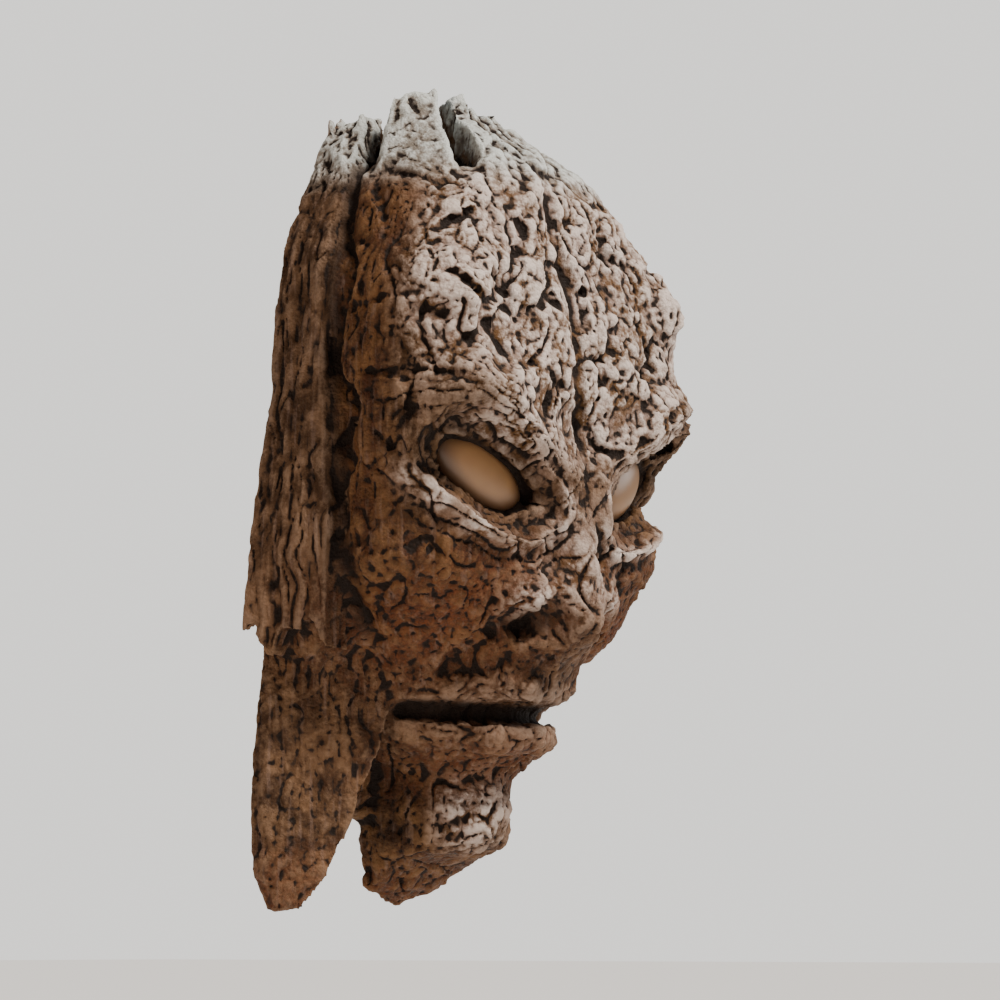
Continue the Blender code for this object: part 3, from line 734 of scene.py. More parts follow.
def skyline(phi, edge):
    """The crown's broken top level at each angle round the face, evening out towards the middle."""
    angles = [row[0] for row in CROWN_SKYLINE.values()]
    tops = [row[1] for row in CROWN_SKYLINE.values()]
    uneven = 0.5 + 0.5 * np.sin(phi * 7.0 + 2.0)
    rag = uneven * np.sin(phi * 43.0 + 3.0 * np.sin(phi * 11.0)) + 0.8 * np.sin(phi * 19.0 + 1.0)
    top = np.interp(phi, angles, tops) + SKYLINE_RAG * rag
    return PLATEAU_TOP + (top - PLATEAU_TOP) * edge


def sphere_mesh(columns, rings, name):
    bm = bmesh.new()
    bmesh.ops.create_uvsphere(bm, u_segments=columns, v_segments=rings, radius=1.0)
    return mesh_from(bm, name)


def head_mesh(sizes):
    mesh = sphere_mesh(HEAD_COLUMNS, HEAD_RINGS, "head")
    x, forward, z, crown = head_points(get_points(mesh), 0.0, DOME_TOP, JAW_BOTTOM)
    front = smoothstep(*FRONT_FADE, forward)
    lumps = LUMP_HEIGHT * noise_at(np.column_stack((x, -forward, z)), LUMP_SIZE, 1.0)
    x = x * (1.0 + lumps / LUMP_SPREAD)
    cracks, plates = plates_at(np.column_stack((x, -forward, z)), sizes.plate_size)
    share = plate_share(x, z, forward)
    from_split = route_distance(x, z, MIDDLE_CRACK) / (2.0 * MIDDLE_CRACK_WIDTH)
    cracks *= share * sizes.crack_depth * (1.0 - 0.9 * np.exp(-(from_split**2)))
    lumps += PLATE_HEIGHT * plates * share
    groove = np.exp(-(((forward - eased(GROOVE_FORWARD, 1, z)) / GROOVE_WIDTH) ** 2))
    groove *= smoothstep(*GROOVE_FOOT_FADE, z)
    slit = bump(forward, z, (GROOVE_FORWARD["cheek"][1], EAR_SLIT), EAR_SLIT_SIZE)
    pulled_in = np.maximum(GROOVE_DEPTH * groove, EAR_SLIT_DEPTH * slit) * (np.abs(x) > GROOVE_INNER_EDGE)
    pulled_in += SIDE_CRACK_SHARE * cracks * smoothstep(*SIDE_FADE, np.abs(x))
    x = x - np.sign(x) * pulled_in
    moved = forward + front * (front_relief(x, z) + lumps - cracks)
    rim_share = 0.5 + math.acos(POLE_SHARE) / math.pi
    rim_level = JAW_BOTTOM + (DOME_TOP - JAW_BOTTOM) * rim_share
    z = np.where(z > 0.0, crown * np.minimum(z / rim_level, 1.0), z)
    set_points(mesh, np.column_stack((x, -moved, z)))
    return mesh


def block_mesh(cuts, name):
    """A cube of -1 to 1 each way, cut into even squares."""
    bm = bmesh.new()
    bmesh.ops.create_cube(bm, size=2.0)
    bmesh.ops.subdivide_edges(bm, edges=bm.edges[:], cuts=cuts, use_grid_fill=True)
    return mesh_from(bm, name)


def strip_mesh(side):
    """The bark strip down one side, from the crown to its ragged step."""
    mesh = block_mesh(STRIP_CUTS, "strip")
    w, u, v = get_points(mesh).T
    levels = sorted(row[0] for row in STRIP_EDGE.values())
    if side > 0:
        levels[0] += LEFT_STRIP_SHORTER
    down = 1.0 - (v + 1.0) / 2.0
    across = (u + 1.0) / 2.0
    z = levels[-1] + (levels[0] - levels[-1]) * down
    rag = STRIP_RAG[0] * np.sin(u * 5.0 + side) + STRIP_RAG[1] * np.sin(u * 11.0)
    z += rag * (down**4 + 0.5 * (1.0 - down) ** 6)
    groove = eased(GROOVE_FORWARD, 1, z) - GROOVE_WIDTH
    forward = -BACK_STOCK + (groove + BACK_STOCK) * across
    depth = eased(HEAD_SECTIONS, 2, z)
    power = eased(HEAD_SECTIONS, 3, z)
    cut_off = (1.0 - (np.maximum(forward, 0.0) / depth) ** power) ** (1.0 / power)
    head_side = eased(HEAD_SECTIONS, 1, z) * cut_off
    board_side = eased(BOARD_SECTIONS, 1, z)
    edge = eased(STRIP_EDGE, 1, z)
    front_edge = np.minimum(np.maximum(head_side, board_side), edge + STRIP_FRONT_SPARE)
    outer = edge * (1.0 - across) + front_edge * across
    rounded = np.sqrt(np.clip(1.0 - across**STRIP_CORNER, 0.0, 1.0))
    outer += STRIP_PROUD * rounded * smoothstep(0.0, STRIP_SWELL, across)
    x = outer - STRIP_THICKNESS * (1.0 - w) / 2.0
    set_points(mesh, np.column_stack((side * x, -forward, z)))
    if side < 0:
        mesh.flip_normals()
    return mesh


def plank_mesh(side, edges):
    """The board that hangs beside the mouth and the jaw and ends in a blunt tip."""
    mesh = block_mesh(PLANK_CUTS, "plank")
    u, w, v = get_points(mesh).T
    levels = sorted(row[0] for row in edges.values())
    z = levels[0] + (levels[-1] - levels[0]) * (v + 1.0) / 2.0
    outer = eased(edges, 1, z)
    inner = eased(edges, 2, z)
    across = (u + 1.0) / 2.0
    x = outer + (inner - outer) * across
    inner_forward = eased(edges, 3, z)
    surface = PLANK_OUTER_FORWARD + (inner_forward - PLANK_OUTER_FORWARD) * across**PLANK_ROUNDNESS
    outward = (1.0 - w) / 2.0
    forward = -BACK_STOCK + (surface + BACK_STOCK) * outward
    x += PLANK_UNDERCUT * across**3 * (1.0 - outward)
    set_points(mesh, np.column_stack((side * x, -forward, z)))
    if side > 0:
        mesh.flip_normals()
    return mesh


def core_mesh():
    """The hollow behind: the head moved in by the wall, and kept clear of the mouth and the eyes."""
    mesh = sphere_mesh(CORE_COLUMNS, CORE_RINGS, "hollow")
    inset = WALL + CORE_SPARE
    x, forward, z, _ = head_points(get_points(mesh), inset, -LAND_HALF_HEIGHT, CORE_BOTTOM)
    front = smoothstep(*FRONT_FADE, forward)
    at_mouth = smoothstep(CORE_BOTTOM + CORE_MOUTH_FADE[0], CORE_BOTTOM + CORE_MOUTH_FADE[1], z)
    moved = forward - front * MOUTH_DEPTH * at_mouth
    eye_back = EYE_FORWARD - EYE_SEAT_DEPTH - EYE_HALF_LENGTH * math.sin(EYE_TURN)
    near_eye = smoothstep(*CORE_EYE_FADE, np.hypot(np.abs(x) - EYE_OUT, z - EYE_LEVEL))
    moved -= near_eye * np.maximum(moved - (eye_back - EYE_WALL), 0.0)
    set_points(mesh, np.column_stack((x, -moved, z)))
    return mesh


def back_mesh():
    """Everything behind the back plane, over the whole part and some way past it."""
    bm = bmesh.new()
    bmesh.ops.create_cube(bm, size=1.0)
    size = (FACE_WIDTH + 2.0 * BACK_CUTTER_SPARE, BACK_CUTTER_DEPTH, FACE_HEIGHT + 2.0 * BACK_CUTTER_SPARE)
    bmesh.ops.scale(bm, vec=size, verts=bm.verts)
    middle = (0.0, BACK_CUTTER_DEPTH / 2.0, (DOME_TOP + JAW_BOTTOM) / 2.0)
    bmesh.ops.translate(bm, vec=middle, verts=bm.verts)
    return mesh_from(bm, "back_plane")


def eye_mesh(grown, segments, name):
    """A lens with a domed front and a shallow seat behind, larger by the clearance for its pocket."""
    mesh = sphere_mesh(segments, segments // 2, name)
    x, y, z = get_points(mesh).T
    x = x * (EYE_HALF_LENGTH + grown)
    z = z * (EYE_HALF_HEIGHT + grown)
    y = np.where(y < 0.0, y * (EYE_BULGE + grown), y * (EYE_SEAT_DEPTH + grown))
    set_points(mesh, np.column_stack((x, y, z)))
    return mesh


def eye_place(side):
    turn = Matrix.Rotation(side * EYE_TURN, 4, "Z") @ Matrix.Rotation(-side * EYE_TILT, 4, "Y")
    return Matrix.Translation((side * EYE_OUT, -EYE_FORWARD, EYE_LEVEL)) @ turn


def billow(points, size, seed):
    """Rounded lumps with creases between them: 0 in a crease, 1 on a lump."""
    return np.clip(np.abs(noise_at(points, size, seed)) * 2.2, 0.0, 1.0)


def grains(points, size, seed):
    """Irregular grains of bark: 0 in a crease and 1 on a grain's top, and a height that each grain keeps."""
    tops, heights = cells_at(scaled(points, size, seed))
    return np.sqrt(np.clip(1.9 * tops, 0.0, 1.0)), heights


def fissures(points, size, seed, sharpness):
    """Thin lines where a noise passes through zero: 1 in a fissure, 0 between."""
    value = noise_at(points, size, seed)
    return np.exp(-((value / sharpness) ** 2))


def bark_zones(points):
    """Shares of the surface that are split wood, plank, crown, temple and the ring round the eye."""
    x, y, z = points.T
    forward = -y
    groove = eased(GROOVE_FORWARD, 1, z)
    strip = smoothstep(groove + GROOVE_BLUR, groove - GROOVE_BLUR, forward)
    strip *= smoothstep(*STRIP_FADE, np.abs(x))
    plank = smoothstep(*PLANK_TOP_FADE, z)
    plank *= smoothstep(*PLANK_INNER_FADE, np.abs(x) + PLANK_LEAN * (z - PLANK_LEAN_FROM))
    crown = smoothstep(*CROWN_FADE, z)
    strip = np.clip(strip - plank, 0.0, 1.0)
    wooden = np.clip(strip + plank + crown, 0.0, 1.0)
    temple = smoothstep(*TEMPLE_FRONT_FADE, forward) * (1.0 - wooden) * smoothstep(*TEMPLE_FOOT_FADE, z)
    ring = smoothstep(*RING_FADE, socket_place(x, z)[0]) * smoothstep(*RING_FRONT_FADE, forward)
    return strip, plank, crown, temple, ring * (1.0 - wooden)


def thin_wall(points):
    """One in the middle crack and in the grooves, where the wall is thinnest, fading to 0 beside them."""
    x, y, z = points.T
    from_split = route_distance(x, z, MIDDLE_CRACK) / (2.0 * MIDDLE_CRACK_WIDTH)
    in_groove = (-y - eased(GROOVE_FORWARD, 1, z)) / (1.5 * GROOVE_WIDTH)
    beside = np.abs(x) > GROOVE_INNER_EDGE
    return np.maximum(np.exp(-(from_split**2)), np.exp(-(in_groove**2)) * beside)


def bark_relief(points, sizes):
    """How far each point of the blended casting moves out along its normal."""
    x, y, z = points.T
    strip, plank, crown, temple, ring = bark_zones(points)
    face = np.clip(1.0 - strip - plank - crown, 0.0, 1.0)
    size = sizes.knobble_size
    height = sizes.knobble_height
    width = sizes.fibre_width
    swirl = np.column_stack([noise_at(points, size * 3.0, seed) for seed in (21.0, 22.0, 23.0)])
    warped = points + SWIRL * swirl
    broken = smoothstep(*PATCHES, noise_at(points, size * 3.4, 11.0))

    # Knobbly bark: coarse and fine grains, pits and splits
    coarse, coarse_height = grains(warped, (size * 2.2, size * 2.2, size * 2.9), 8.0)
    fine, fine_height = grains(warped, size * 1.15, 9.0)
    big = coarse * (0.55 + 0.45 * coarse_height)
    middling = fine * (0.6 + 0.4 * fine_height)
    small = noise_at(points, size * 0.55, 12.0)
    pits = smoothstep(0.30, 0.55, noise_at(warped, size * 0.95, 13.0))
    split = fissures(warped, (size * 4.0, size * 4.0, size * 7.0), 10.0, 0.05) * broken
    knobbly = height * (2.4 * big + 1.5 * middling - 2.1 + 0.5 * small)
    knobbly -= height * (1.3 * pits * (1.0 - 0.6 * broken) + 2.6 * split)

    # Split wood: long ridges, fissures between fibres and fine threads
    ridges = billow(warped, (width * 1.9, width * 1.9, width * 26.0), 5.0)
    fibres = fissures(warped, (width * 1.2, width * 1.2, width * 15.0), 6.0, 0.09)
    threads = noise_at(points, (width * 0.45, width * 0.45, width * 5.0), 14.0)
    grain = 1.1 * ridges - 0.8 - 0.9 * fibres * (0.3 + 0.7 * broken) + 0.35 * threads
    grain = sizes.fibre_depth * grain
    rough = billow(warped, (size * 1.8, size * 1.8, size * 3.6), 15.0)
    flaky = height * (1.5 * rough + 1.3 * middling - 1.4 + 0.7 * small - 0.7 * pits)

    # Lines that run round the sockets
    turned = np.arctan2(z - EYE_LEVEL, np.abs(x) - EYE_OUT)
    socket = socket_place(x, z)[0]
    rings = np.column_stack((socket * 4.2, turned * 1.3, np.sign(x))) + 0.5 * swirl
    ring_lines = fissures(rings, 1.0, 7.0, 0.12)

    calm = 1.0 - 0.55 * temple - 0.3 * ring
    move = face * calm * knobbly
    move += strip * (grain + 0.5 * height * (middling - 0.6))
    move += plank * (0.75 * flaky + 0.45 * grain)
    move += crown * (0.4 * grain + 0.9 * height * (1.2 * big + middling - 0.9))
    move += temple * face * 0.65 * grain
    move -= RING_DEPTH * ring_lines * ring

    # The roll of bark round each lens, higher towards the nose, and a calm seat for the lens
    from_lens = lens_reach(points)
    in_front = smoothstep(*LENS_FRONT_FADE, -y)
    inward = np.clip((EYE_OUT - np.abs(x)) / EYE_HALF_LENGTH, 0.0, 1.0)
    lid = np.exp(-(((from_lens - LID_REACH) / LID_WIDTH) ** 2)) * in_front
    move += LID_HEIGHT * (1.0 + 0.9 * inward) * lid * (0.75 + 0.4 * middling)
    seat = smoothstep(1.20, 1.02, from_lens) * in_front
    on_wall = smoothstep(1.15, 1.35, from_lens) * smoothstep(1.2, 0.9, socket) * in_front
    move = move * (1.0 - 0.8 * seat) + 0.9 * height * (big + middling - 1.0) * on_wall
    return np.maximum(move, -DEEPEST_RELIEF * (1.0 - 0.8 * thin_wall(points)))


def cut_away(target, cutter, solver="MANIFOLD"):
    cut = target.modifiers.new("cut", "BOOLEAN")
    cut.operation = "DIFFERENCE"
    cut.solver = solver
    cut.object = cutter


def bake_modifiers(target):
    """Replaces an object's mesh by the mesh its modifiers make."""
    graph = bpy.context.evaluated_depsgraph_get()
    made = bpy.data.meshes.new_from_object(target.evaluated_get(graph))
    old = target.data
    target.modifiers.clear()
    target.data = made
    bpy.data.meshes.remove(old)
    return made


def drop_crumbs(mesh):
    """Deletes every loose crumb of the mesh, all but its largest island."""
    bm = bmesh.new()
    bm.from_mesh(mesh)
    left = set(bm.verts)
    islands = []
    while left:
        island = [left.pop()]
        for vertex in island:
            for edge in vertex.link_edges:
                other = edge.other_vert(vertex)
                if other in left:
                    left.remove(other)
                    island.append(other)
        islands.append(island)
    islands.sort(key=len)
    for crumb in islands[:-1]:
        bmesh.ops.delete(bm, geom=crumb, context="VERTS")
    bm.to_mesh(mesh)
    bm.free()


def smoothed(points, edges, rounds):
    """The points after some rounds of averaging with their neighbours."""
    count = len(points)
    ends = np.concatenate((edges[:, 0], edges[:, 1]))
    others = np.concatenate((edges[:, 1], edges[:, 0]))
    degree = np.maximum(np.bincount(ends, minlength=count), 1)[:, None]
    for _ in range(rounds):
        sums = [np.bincount(ends, points[others, axis], minlength=count) for axis in range(3)]
        sums = np.column_stack(sums)
        points = 0.4 * points + 0.6 * sums / degree
    return points


def add_attribute(mesh, name, values):
    made = mesh.attributes.new(name, "FLOAT", "POINT")
    made.data.foreach_set("value", np.ascontiguousarray(values, dtype=np.float32))


def unpainted(points, normals):
    """One on the flat back and inside the hollow, where the casting is left as it came from its mould."""
    x, y, z = points.T
    forward = -y
    face, board = section_reaches(np.arctan2(x, np.maximum(forward, 0.0)), z, WALL)
    reach = np.hypot(x, y)
    near_hollow = (reach < np.maximum(face, board) + HOLLOW_SPARE) & (z > CORE_BOTTOM - HOLLOW_FOOT_SPARE)
    outward = (x * normals[:, 0] + y * normals[:, 1]) / np.maximum(reach, MM)
    turned_in = (normals[:, 1] > BACKWARD) | ((outward < INWARD) & (forward < HOLLOW_DEEPEST))
    return ((forward < BACK_SPARE) | (near_hollow & turned_in)).astype(float)


def relief_between(points, smoother, normals, span):
    """How proud the points stand of smoother ones: 0.5 where level, 0 or 1 at half the span."""
    return np.clip(0.5 + np.einsum("ij,ij->i", points - smoother, normals) / span, 0.0, 1.0)


def brushing_and_highlight_share(points, from_lens):
    """Where the grey dry brushing and painted highlight go: the front of the forehead, cheekbones, nose,
    wings, lips and chin, less on the temple as painted shade.
    """
    x, y, z = points.T
    forward = -y
    strip, plank, _, temple, _ = bark_zones(points)
    frontal = forward / np.maximum(eased(HEAD_SECTIONS, 2, z), LEAST_CORE)
    forehead = smoothstep(-0.160, -0.115, z) * smoothstep(0.58, 0.86, frontal)
    forehead *= smoothstep(1.25, 1.75, from_lens)
    forehead *= 1.0 - 0.85 * bump(np.abs(x), z, *TEMPLE_SHADE)
    below = smoothstep(-0.130, -0.150, z) * smoothstep(0.060, 0.080, forward)
    patchy = 0.45 + 0.55 * smoothstep(-0.25, 0.20, noise_at(points, 11 * MM, 31.0))
    cheekbone = np.exp(-(((socket_place(x, z)[0] - 1.40) / 0.26) ** 2)) * below * patchy
    nose = bump(np.abs(x), z, *NOSE_BRUSHING_AND_HIGHLIGHT) * smoothstep(0.080, 0.090, forward)
    wings = bump(np.abs(x), z, *WING_BRUSHING_AND_HIGHLIGHT) * smoothstep(0.070, 0.085, forward)
    lips = 0.35 * bump(x, z, *LIP_BRUSHING_AND_HIGHLIGHT)
    chin = bump(x, z, *CHIN_BRUSHING_AND_HIGHLIGHT) * smoothstep(0.030, 0.045, forward)
    shares = (forehead, cheekbone, 0.8 * nose, wings, lips, chin, 0.16 * strip, 0.1 * plank)
    return np.clip(np.maximum.reduce(shares) * (1.0 - 0.5 * temple), 0.0, 1.0)


def recess_shade_share(points, from_lens):
    """Where painted shade darkens the recesses most: the sockets, the mouth, the nostrils, the groove and
    the slit.
    """
    x, y, z = points.T
    forward = -y
    in_socket = smoothstep(1.42, 1.14, from_lens)
    in_socket = np.maximum(in_socket, 0.25 * smoothstep(1.05, 0.85, socket_place(x, z)[0]))
    in_socket *= smoothstep(*LENS_FRONT_FADE, forward)
    slit = np.clip(-mouth_relief(x, z) / MOUTH_DEPTH * 1.6, 0.0, 1.0) * smoothstep(0.020, 0.040, forward)
    nostrils = bump(np.abs(x), z, NOSTRIL, NOSTRIL_SIZE) * smoothstep(0.060, 0.070, forward)
    beside = smoothstep(*STRIP_FADE, np.abs(x)) * smoothstep(-0.222, -0.212, z)
    groove = 0.7 * np.exp(-(((forward - eased(GROOVE_FORWARD, 1, z)) / GROOVE_WIDTH) ** 2)) * beside
    ear = bump(forward, z, (GROOVE_FORWARD["cheek"][1], EAR_SLIT), EAR_SLIT_SIZE) * beside
    return np.maximum.reduce((in_socket, slit, nostrils, groove, ear))


def store_paint(mesh):
    """Keeps the relief round each point, narrow and broad, and where each paint, painted highlight and
    painted shade goes, for the material.
    """
    points = get_points(mesh)
    normals = get_normals(mesh)
    edges = np.empty(len(mesh.edges) * 2, dtype=np.int32)
    mesh.edges.foreach_get("vertices", edges)
    edges = edges.reshape(-1, 2)
    near = smoothed(points, edges, NARROW_ROUNDS)
    far = smoothed(near, edges, BROAD_ROUNDS)
    x, y, z = points.T
    _, _, crown, temple, _ = bark_zones(points)
    from_lens = lens_reach(points)
    # Red-brown glaze, partly painted warm shade: cheek hollows, under the lower lip, the jaw's underside and
    # the temples
    cheek = bump(np.abs(x), z, *CHEEK_GLAZE_AND_SHADE) + 0.8 * bump(x, z, *UNDER_LIP_GLAZE_AND_SHADE)
    cheek += 0.7 * smoothstep(-0.300, -0.335, z)
    shares = {
        "narrow_relief": relief_between(points, near, normals, NARROW_SPAN),
        "broad_relief": relief_between(near, far, normals, BROAD_SPAN),
        "dry_brushing_and_painted_highlight": brushing_and_highlight_share(points, from_lens),
        "ruddy_glaze_and_painted_shade": np.clip(cheek + 0.35 * temple, 0.0, 1.0),
        "pale_crown": np.clip(crown, 0.0, 1.0),
        "bare_cast": unpainted(points, normals),
        "painted_recess_shade": recess_shade_share(points, from_lens),
    }
    for name, values in shares.items():
        add_attribute(mesh, name, values)


def noise_of(tree, place, size, detail, roughness=0.5):
    """A noise texture between 0 and 1 with lumps of the given size."""
    settings = {"Vector": place, "Scale": 1 / size, "Detail": detail, "Roughness": roughness}
    return add_node(tree, "ShaderNodeTexNoise", None, settings).outputs["Fac"]


def attribute_of(tree, name):
    return add_node(tree, "ShaderNodeAttribute", {"attribute_name": name}).outputs["Fac"]


def mixed(tree, factor, first, second):
    """The colour between two others; the mix node takes its colours in inputs 6 and 7."""
    links = {"Factor": factor, 6: first, 7: second}
    return add_node(tree, "ShaderNodeMix", {"data_type": "RGBA"}, links).outputs[2]


def bark_material(colours):
    """Resin cast from carved bark, washed brown and dry brushed: dark cracks, pale worn high points, with
    painted shade in the recesses and painted highlight on the lit front.
    """
    made, tree, shader = new_material("cast_resin_painted_as_bark")
    links = tree.links
    place = add_node(tree, "ShaderNodeTexCoord").outputs["Object"]
    mottle = noise_of(tree, place, MOTTLE_SIZE, 5.0, 0.6)
    speck = noise_of(tree, place, SPECK_SIZE, 4.0, 0.7)
    drawn_out = {"Vector": place, "Scale": (1.0, 1.0, STREAK_STRETCH)}
    stretch = add_node(tree, "ShaderNodeMapping", None, drawn_out).outputs[0]
    streak = noise_of(tree, stretch, STREAK_SIZE, 4.0)

    def spread(value, low, high):
        """Maps low to 0 and high to 1, eased at both ends."""
        ends = {"Value": value, "From Min": low, "From Max": high}
        settings = {"interpolation_type": "SMOOTHSTEP"}
        return add_node(tree, "ShaderNodeMapRange", settings, ends).outputs["Result"]

    def maths(operation, first, second):
        return add_node(tree, "ShaderNodeMath", {"operation": operation}, {0: first, 1: second}).outputs[0]

    def times(first, second):
        return maths("MULTIPLY", first, second)

    def lifted(height, value, middle, share):
        """The height raised where a value is over its middle and lowered where it is under."""
        return maths("ADD", height, times(maths("SUBTRACT", value, middle), share))

    def painted(under, share, hex_colour):
        return mixed(tree, share, under, linear(hex_colour))

    narrow = attribute_of(tree, "narrow_relief")
    broad = attribute_of(tree, "broad_relief")
    # Dry brushing share, which also holds painted highlight on the front of the face
    brushing = attribute_of(tree, "dry_brushing_and_painted_highlight")
    crowned = attribute_of(tree, "pale_crown")
    pale = maths("MAXIMUM", brushing, times(crowned, 0.8))

    # Washes: umber and brown low on the face and wherever the brushing is weak, partly painted shade; grey
    # under the dry brushing and painted highlight; driftwood on the crown
    brown = mixed(tree, spread(mottle, 0.36, 0.66), linear(colours.umber), linear(colours.wash))
    grey = mixed(tree, spread(mottle, 0.38, 0.62), linear(colours.wash), linear(colours.middle))
    base = mixed(tree, pale, brown, grey)
    # Red-brown glaze, partly painted warm shade
    base = painted(base, times(attribute_of(tree, "ruddy_glaze_and_painted_shade"), spread(speck, 0.25, 0.75)), colours.ruddy)
    base = painted(base, times(spread(streak, 0.52, 0.72), 0.3), colours.middle)
    base = painted(base, times(crowned, 0.7), colours.driftwood)

    # Dry brushing, which only touches the worn high points, laid on more widely where it also stands for
    # painted highlight
    coat = mixed(tree, pale, linear(colours.tan), linear(colours.brushed))
    coat = painted(coat, crowned, colours.crown)
    worn = maths("ADD", times(broad, 0.55), times(narrow, 0.45))
    worn = lifted(worn, speck, 0.5, 0.75)
    worn = lifted(worn, mottle, 0.5, 0.60)
    reach = maths("MAXIMUM", brushing, times(crowned, 0.9))
    worn = lifted(worn, reach, 1.0, 0.12)
    brushed = times(spread(worn, 0.38, 0.82), maths("ADD", times(reach, 0.54), 0.40))
    base = mixed(tree, brushed, base, coat)

    # Near black in the cracks and broad hollows, partly a stain and partly painted shade; painted shade in
    # the sockets, the mouth, the nostrils and the grooves; and bare resin behind
    base = painted(base, spread(narrow, 0.46, 0.16), colours.crack)
    base = painted(base, times(spread(broad, 0.36, 0.06), 0.65), colours.crack)
    # Painted shade in the sockets, the mouth, the nostrils, the groove and the slit
    base = painted(base, times(attribute_of(tree, "painted_recess_shade"), 0.95), colours.crack)
    cast = mixed(tree, spread(mottle, 0.3, 0.7), linear(colours.wash), linear(colours.bare))
    base = mixed(tree, attribute_of(tree, "bare_cast"), base, cast)
    links.new(base, shader.inputs["Base Color"])

    dullness = {"Value": speck, "From Min": 0.3, "From Max": 0.7, "To Min": 0.60, "To Max": 0.85}
    rough = add_node(tree, "ShaderNodeMapRange", None, dullness).outputs["Result"]
    links.new(rough, shader.inputs["Roughness"])
    shader.inputs["Specular IOR Level"].default_value = PAINT_GLOSS
    crumbs = {"Vector": place, "Scale": 1 / GRIT_SIZE, "Randomness": 1.0}
    grit = add_node(tree, "ShaderNodeTexVoronoi", {"feature": "F1"}, crumbs).outputs["Distance"]
    height = maths("SUBTRACT", maths("ADD", times(speck, 1.6), streak), times(grit, 0.7))
    gritty = {"Strength": 0.75, "Distance": GRIT_HEIGHT, "Height": height}
    links.new(add_node(tree, "ShaderNodeBump", None, gritty).outputs["Normal"], shader.inputs["Normal"])
    return made


def eye_material(colours):
    """Clear amber resin cast smooth: an even warm colour under a soft gloss, darker at its edge as painted
    shade.
    """
    made, tree, shader = new_material("cast_amber_resin")
    place = add_node(tree, "ShaderNodeTexCoord").outputs["Object"]
    cloud = noise_of(tree, place, CLOUD_SIZE, 2.0)
    tint = mixed(tree, cloud, linear(colours.amber), linear(colours.amber_cloud))
    # Painted shade at the lens edge
    edged = mixed(tree, attribute_of(tree, "painted_edge_shade"), tint, linear(colours.amber_edge_shade))
    tree.links.new(edged, shader.inputs["Base Color"])
    shader.inputs["Roughness"].default_value = LENS_ROUGHNESS
    shader.inputs["Subsurface Weight"].default_value = LENS_GLOW
    shader.inputs["Subsurface Radius"].default_value = LENS_GLOW_REACH
    shader.inputs["Subsurface Scale"].default_value = 1.0
    return made


class TREEFACE_OT_stage(bpy.types.Operator):
    """Makes the pale floor, the soft studio lights and the camera"""

    bl_idname = "treeface.stage"
    bl_label = "Stage"

    def execute(self, context):
        colours = context.scene.tree_face_colours
        bm = bmesh.new()
        bmesh.ops.create_grid(bm, x_segments=1, y_segments=1, size=FLOOR_HALF_WIDTH)
        floor = add_object("floor", mesh_from(bm, "floor"))
        floor.location = (0.0, 0.0, CAD_BOX[0].z - FLOOR_BELOW)
        # Matt paint gives the floor one even pale tone with no glare round the face
        made, tree, shader = new_material("matt_painted_floor")
        shader.inputs["Base Color"].default_value = linear(colours.floor)
        shader.inputs["Roughness"].default_value = FLOOR_ROUGHNESS
        floor.data.materials.append(made)

        right = Vector((math.cos(CAMERA_AZIMUTH), math.sin(CAMERA_AZIMUTH), 0.0))
        back = Vector((math.sin(CAMERA_AZIMUTH), -math.cos(CAMERA_AZIMUTH), 0.0))
        stand = back * CAMERA_DISTANCE - right * CAMERA_ASIDE + Vector((0.0, 0.0, CAMERA_LEVEL))
        middle = Vector((0.0, -MIDDLE_FORWARD, (CAD_BOX[0].z + CAD_BOX[1].z) / 2.0))
        camera = bpy.data.cameras.new("camera")
        camera.sensor_width = CAMERA_SENSOR
        camera.lens = CAMERA_LENS
        context.scene.camera = add_aimed("camera", camera, stand, middle - stand, "-Z")

        def from_face(across, nearer, up):
            return right * across + back * nearer + Vector((0.0, 0.0, up))

        sun = bpy.data.lights.new("sun", "SUN")
        sun.energy = SUN_STRENGTH
        sun.angle = SUN_ANGLE
        sun.color = linear(SUN_COLOUR)[:3]
        add_aimed("sun", sun, Vector(), from_face(*SUN_PLACE), "Z")
        for name, (place, size, power, colour) in LAMPS.items():
            lamp = bpy.data.lights.new(name, "AREA")
            lamp.shape = "DISK"
            lamp.size = size
            lamp.energy = power
            lamp.color = linear(colour)[:3]
            add_aimed(name, lamp, middle + from_face(*place), from_face(*place), "Z")

        world = bpy.data.worlds.new("studio")
        world.use_nodes = True
        tree = world.node_tree
        lit = tree.nodes["Background"]
        lit.inputs["Color"].default_value = linear(WORLD_COLOUR)
        lit.inputs["Strength"].default_value = WORLD_STRENGTH
        wall = {"Color": linear(WALL_COLOUR), "Strength": WALL_STRENGTH}
        seen = add_node(tree, "ShaderNodeBackground", None, wall).outputs[0]
        rays = add_node(tree, "ShaderNodeLightPath").outputs["Is Camera Ray"]
        both = add_node(tree, "ShaderNodeMixShader", None, {0: rays, 1: lit.outputs[0], 2: seen})
        tree.links.new(both.outputs[0], tree.nodes["World Output"].inputs["Surface"])
        context.scene.world = world
        return {"FINISHED"}


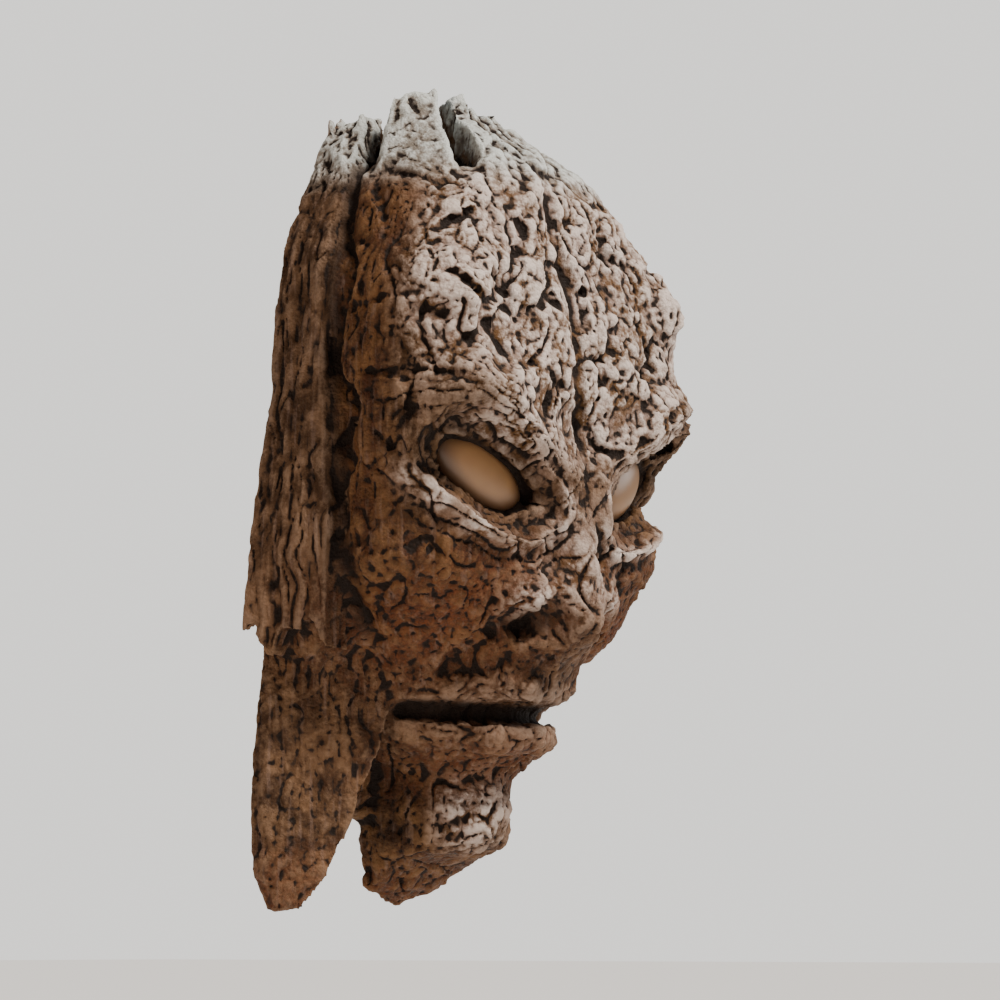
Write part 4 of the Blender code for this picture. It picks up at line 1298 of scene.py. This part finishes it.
class TREEFACE_OT_bark(bpy.types.Operator):
    """Makes the bark casting with its fine relief and its paint"""

    bl_idname = "treeface.bark"
    bl_label = "Bark casting"

    def execute(self, context):
        sizes = context.scene.tree_face_sizes
        meshes = [head_mesh(sizes), strip_mesh(-1), strip_mesh(1)]
        meshes += [plank_mesh(-1, RIGHT_PLANK), plank_mesh(1, LEFT_PLANK)]
        bm = bmesh.new()
        for mesh in meshes:
            bm.from_mesh(mesh)
            bpy.data.meshes.remove(mesh)
        bark = add_object("bark_casting", mesh_from(bm, "bark_casting"))
        blend = bark.modifiers.new("blend", "REMESH")
        blend.mode = "VOXEL"
        blend.voxel_size = BLEND_VOXEL
        mesh = bake_modifiers(bark)
        points = get_points(mesh)
        set_points(mesh, points + get_normals(mesh) * bark_relief(points, sizes)[:, None])

        cutters = [add_object("hollow", core_mesh()), add_object("back_plane", back_mesh())]
        for side in (-1, 1):
            pocket = add_object("pocket", eye_mesh(EYE_CLEARANCE, POCKET_SEGMENTS, "pocket"))
            pocket.matrix_world = eye_place(side)
            cutters.append(pocket)
        for cutter in cutters:
            cut_away(bark, cutter)
        mesh = bake_modifiers(bark)
        for cutter in cutters:
            bpy.data.objects.remove(cutter)
        triangles = sum(len(face.vertices) - 2 for face in mesh.polygons)
        if triangles < LEAST_TRIANGLES:
            raise RuntimeError("the casting lost its surface in a cut")
        thin = bark.modifiers.new("thin", "DECIMATE")
        thin.ratio = min(1.0, MOST_TRIANGLES / triangles)
        mesh = bake_modifiers(bark)
        drop_crumbs(mesh)
        mesh.shade_smooth()
        mesh.set_sharp_from_angle(angle=math.radians(SHARP_FROM))
        store_paint(mesh)
        mesh.materials.clear()
        mesh.materials.append(bark_material(context.scene.tree_face_colours))
        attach(bark, BODY)
        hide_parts("face_bark")
        return {"FINISHED"}


class TREEFACE_OT_eyes(bpy.types.Operator):
    """Makes the two smooth amber lenses in their pockets"""

    bl_idname = "treeface.eyes"
    bl_label = "Eyes"

    def execute(self, context):
        surface = eye_material(context.scene.tree_face_colours)
        for side, name in ((-1, "right"), (1, "left")):
            mesh = eye_mesh(0.0, LENS_SEGMENTS, name + "_lens")
            across, through, up = get_points(mesh).T
            from_middle = np.hypot(across / EYE_HALF_LENGTH, up / EYE_HALF_HEIGHT)
            # Painted shade towards the lens edge
            add_attribute(mesh, "painted_edge_shade", smoothstep(*EDGE_SHADE_FADE, from_middle))
            mesh.transform(eye_place(side))
            mesh.shade_smooth()
            mesh.materials.append(surface)
            lens = add_object(name + "_lens", mesh)
            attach(lens, BODY)
            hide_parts(name + "_eye")
        return {"FINISHED"}


class TREEFACE_PT_panel(bpy.types.Panel):
    """Lists the steps that build the tree face"""

    bl_idname = "TREEFACE_PT_panel"
    bl_label = "Tree Face"
    bl_space_type = "VIEW_3D"
    bl_region_type = "UI"
    bl_category = "Tree Face"

    def draw(self, context):
        for group in (context.scene.tree_face_sizes, context.scene.tree_face_colours):
            for name in group.__annotations__:
                self.layout.prop(group, name)
        for step in STEPS:
            self.layout.operator(step.bl_idname)


STEPS = (TREEFACE_OT_stage, TREEFACE_OT_bark, TREEFACE_OT_eyes)
CLASSES = (TreeFaceSizes, TreeFaceColours, *STEPS, TREEFACE_PT_panel)


def register():
    for item in CLASSES:
        bpy.utils.register_class(item)
    bpy.types.Scene.tree_face_sizes = bpy.props.PointerProperty(type=TreeFaceSizes)
    bpy.types.Scene.tree_face_colours = bpy.props.PointerProperty(type=TreeFaceColours)


def unregister():
    del bpy.types.Scene.tree_face_colours
    del bpy.types.Scene.tree_face_sizes
    for item in reversed(CLASSES):
        bpy.utils.unregister_class(item)


def main():
    register()
    bpy.ops.treeface.stage()
    bpy.ops.treeface.bark()
    bpy.ops.treeface.eyes()


if __name__ == "__main__":
    main()
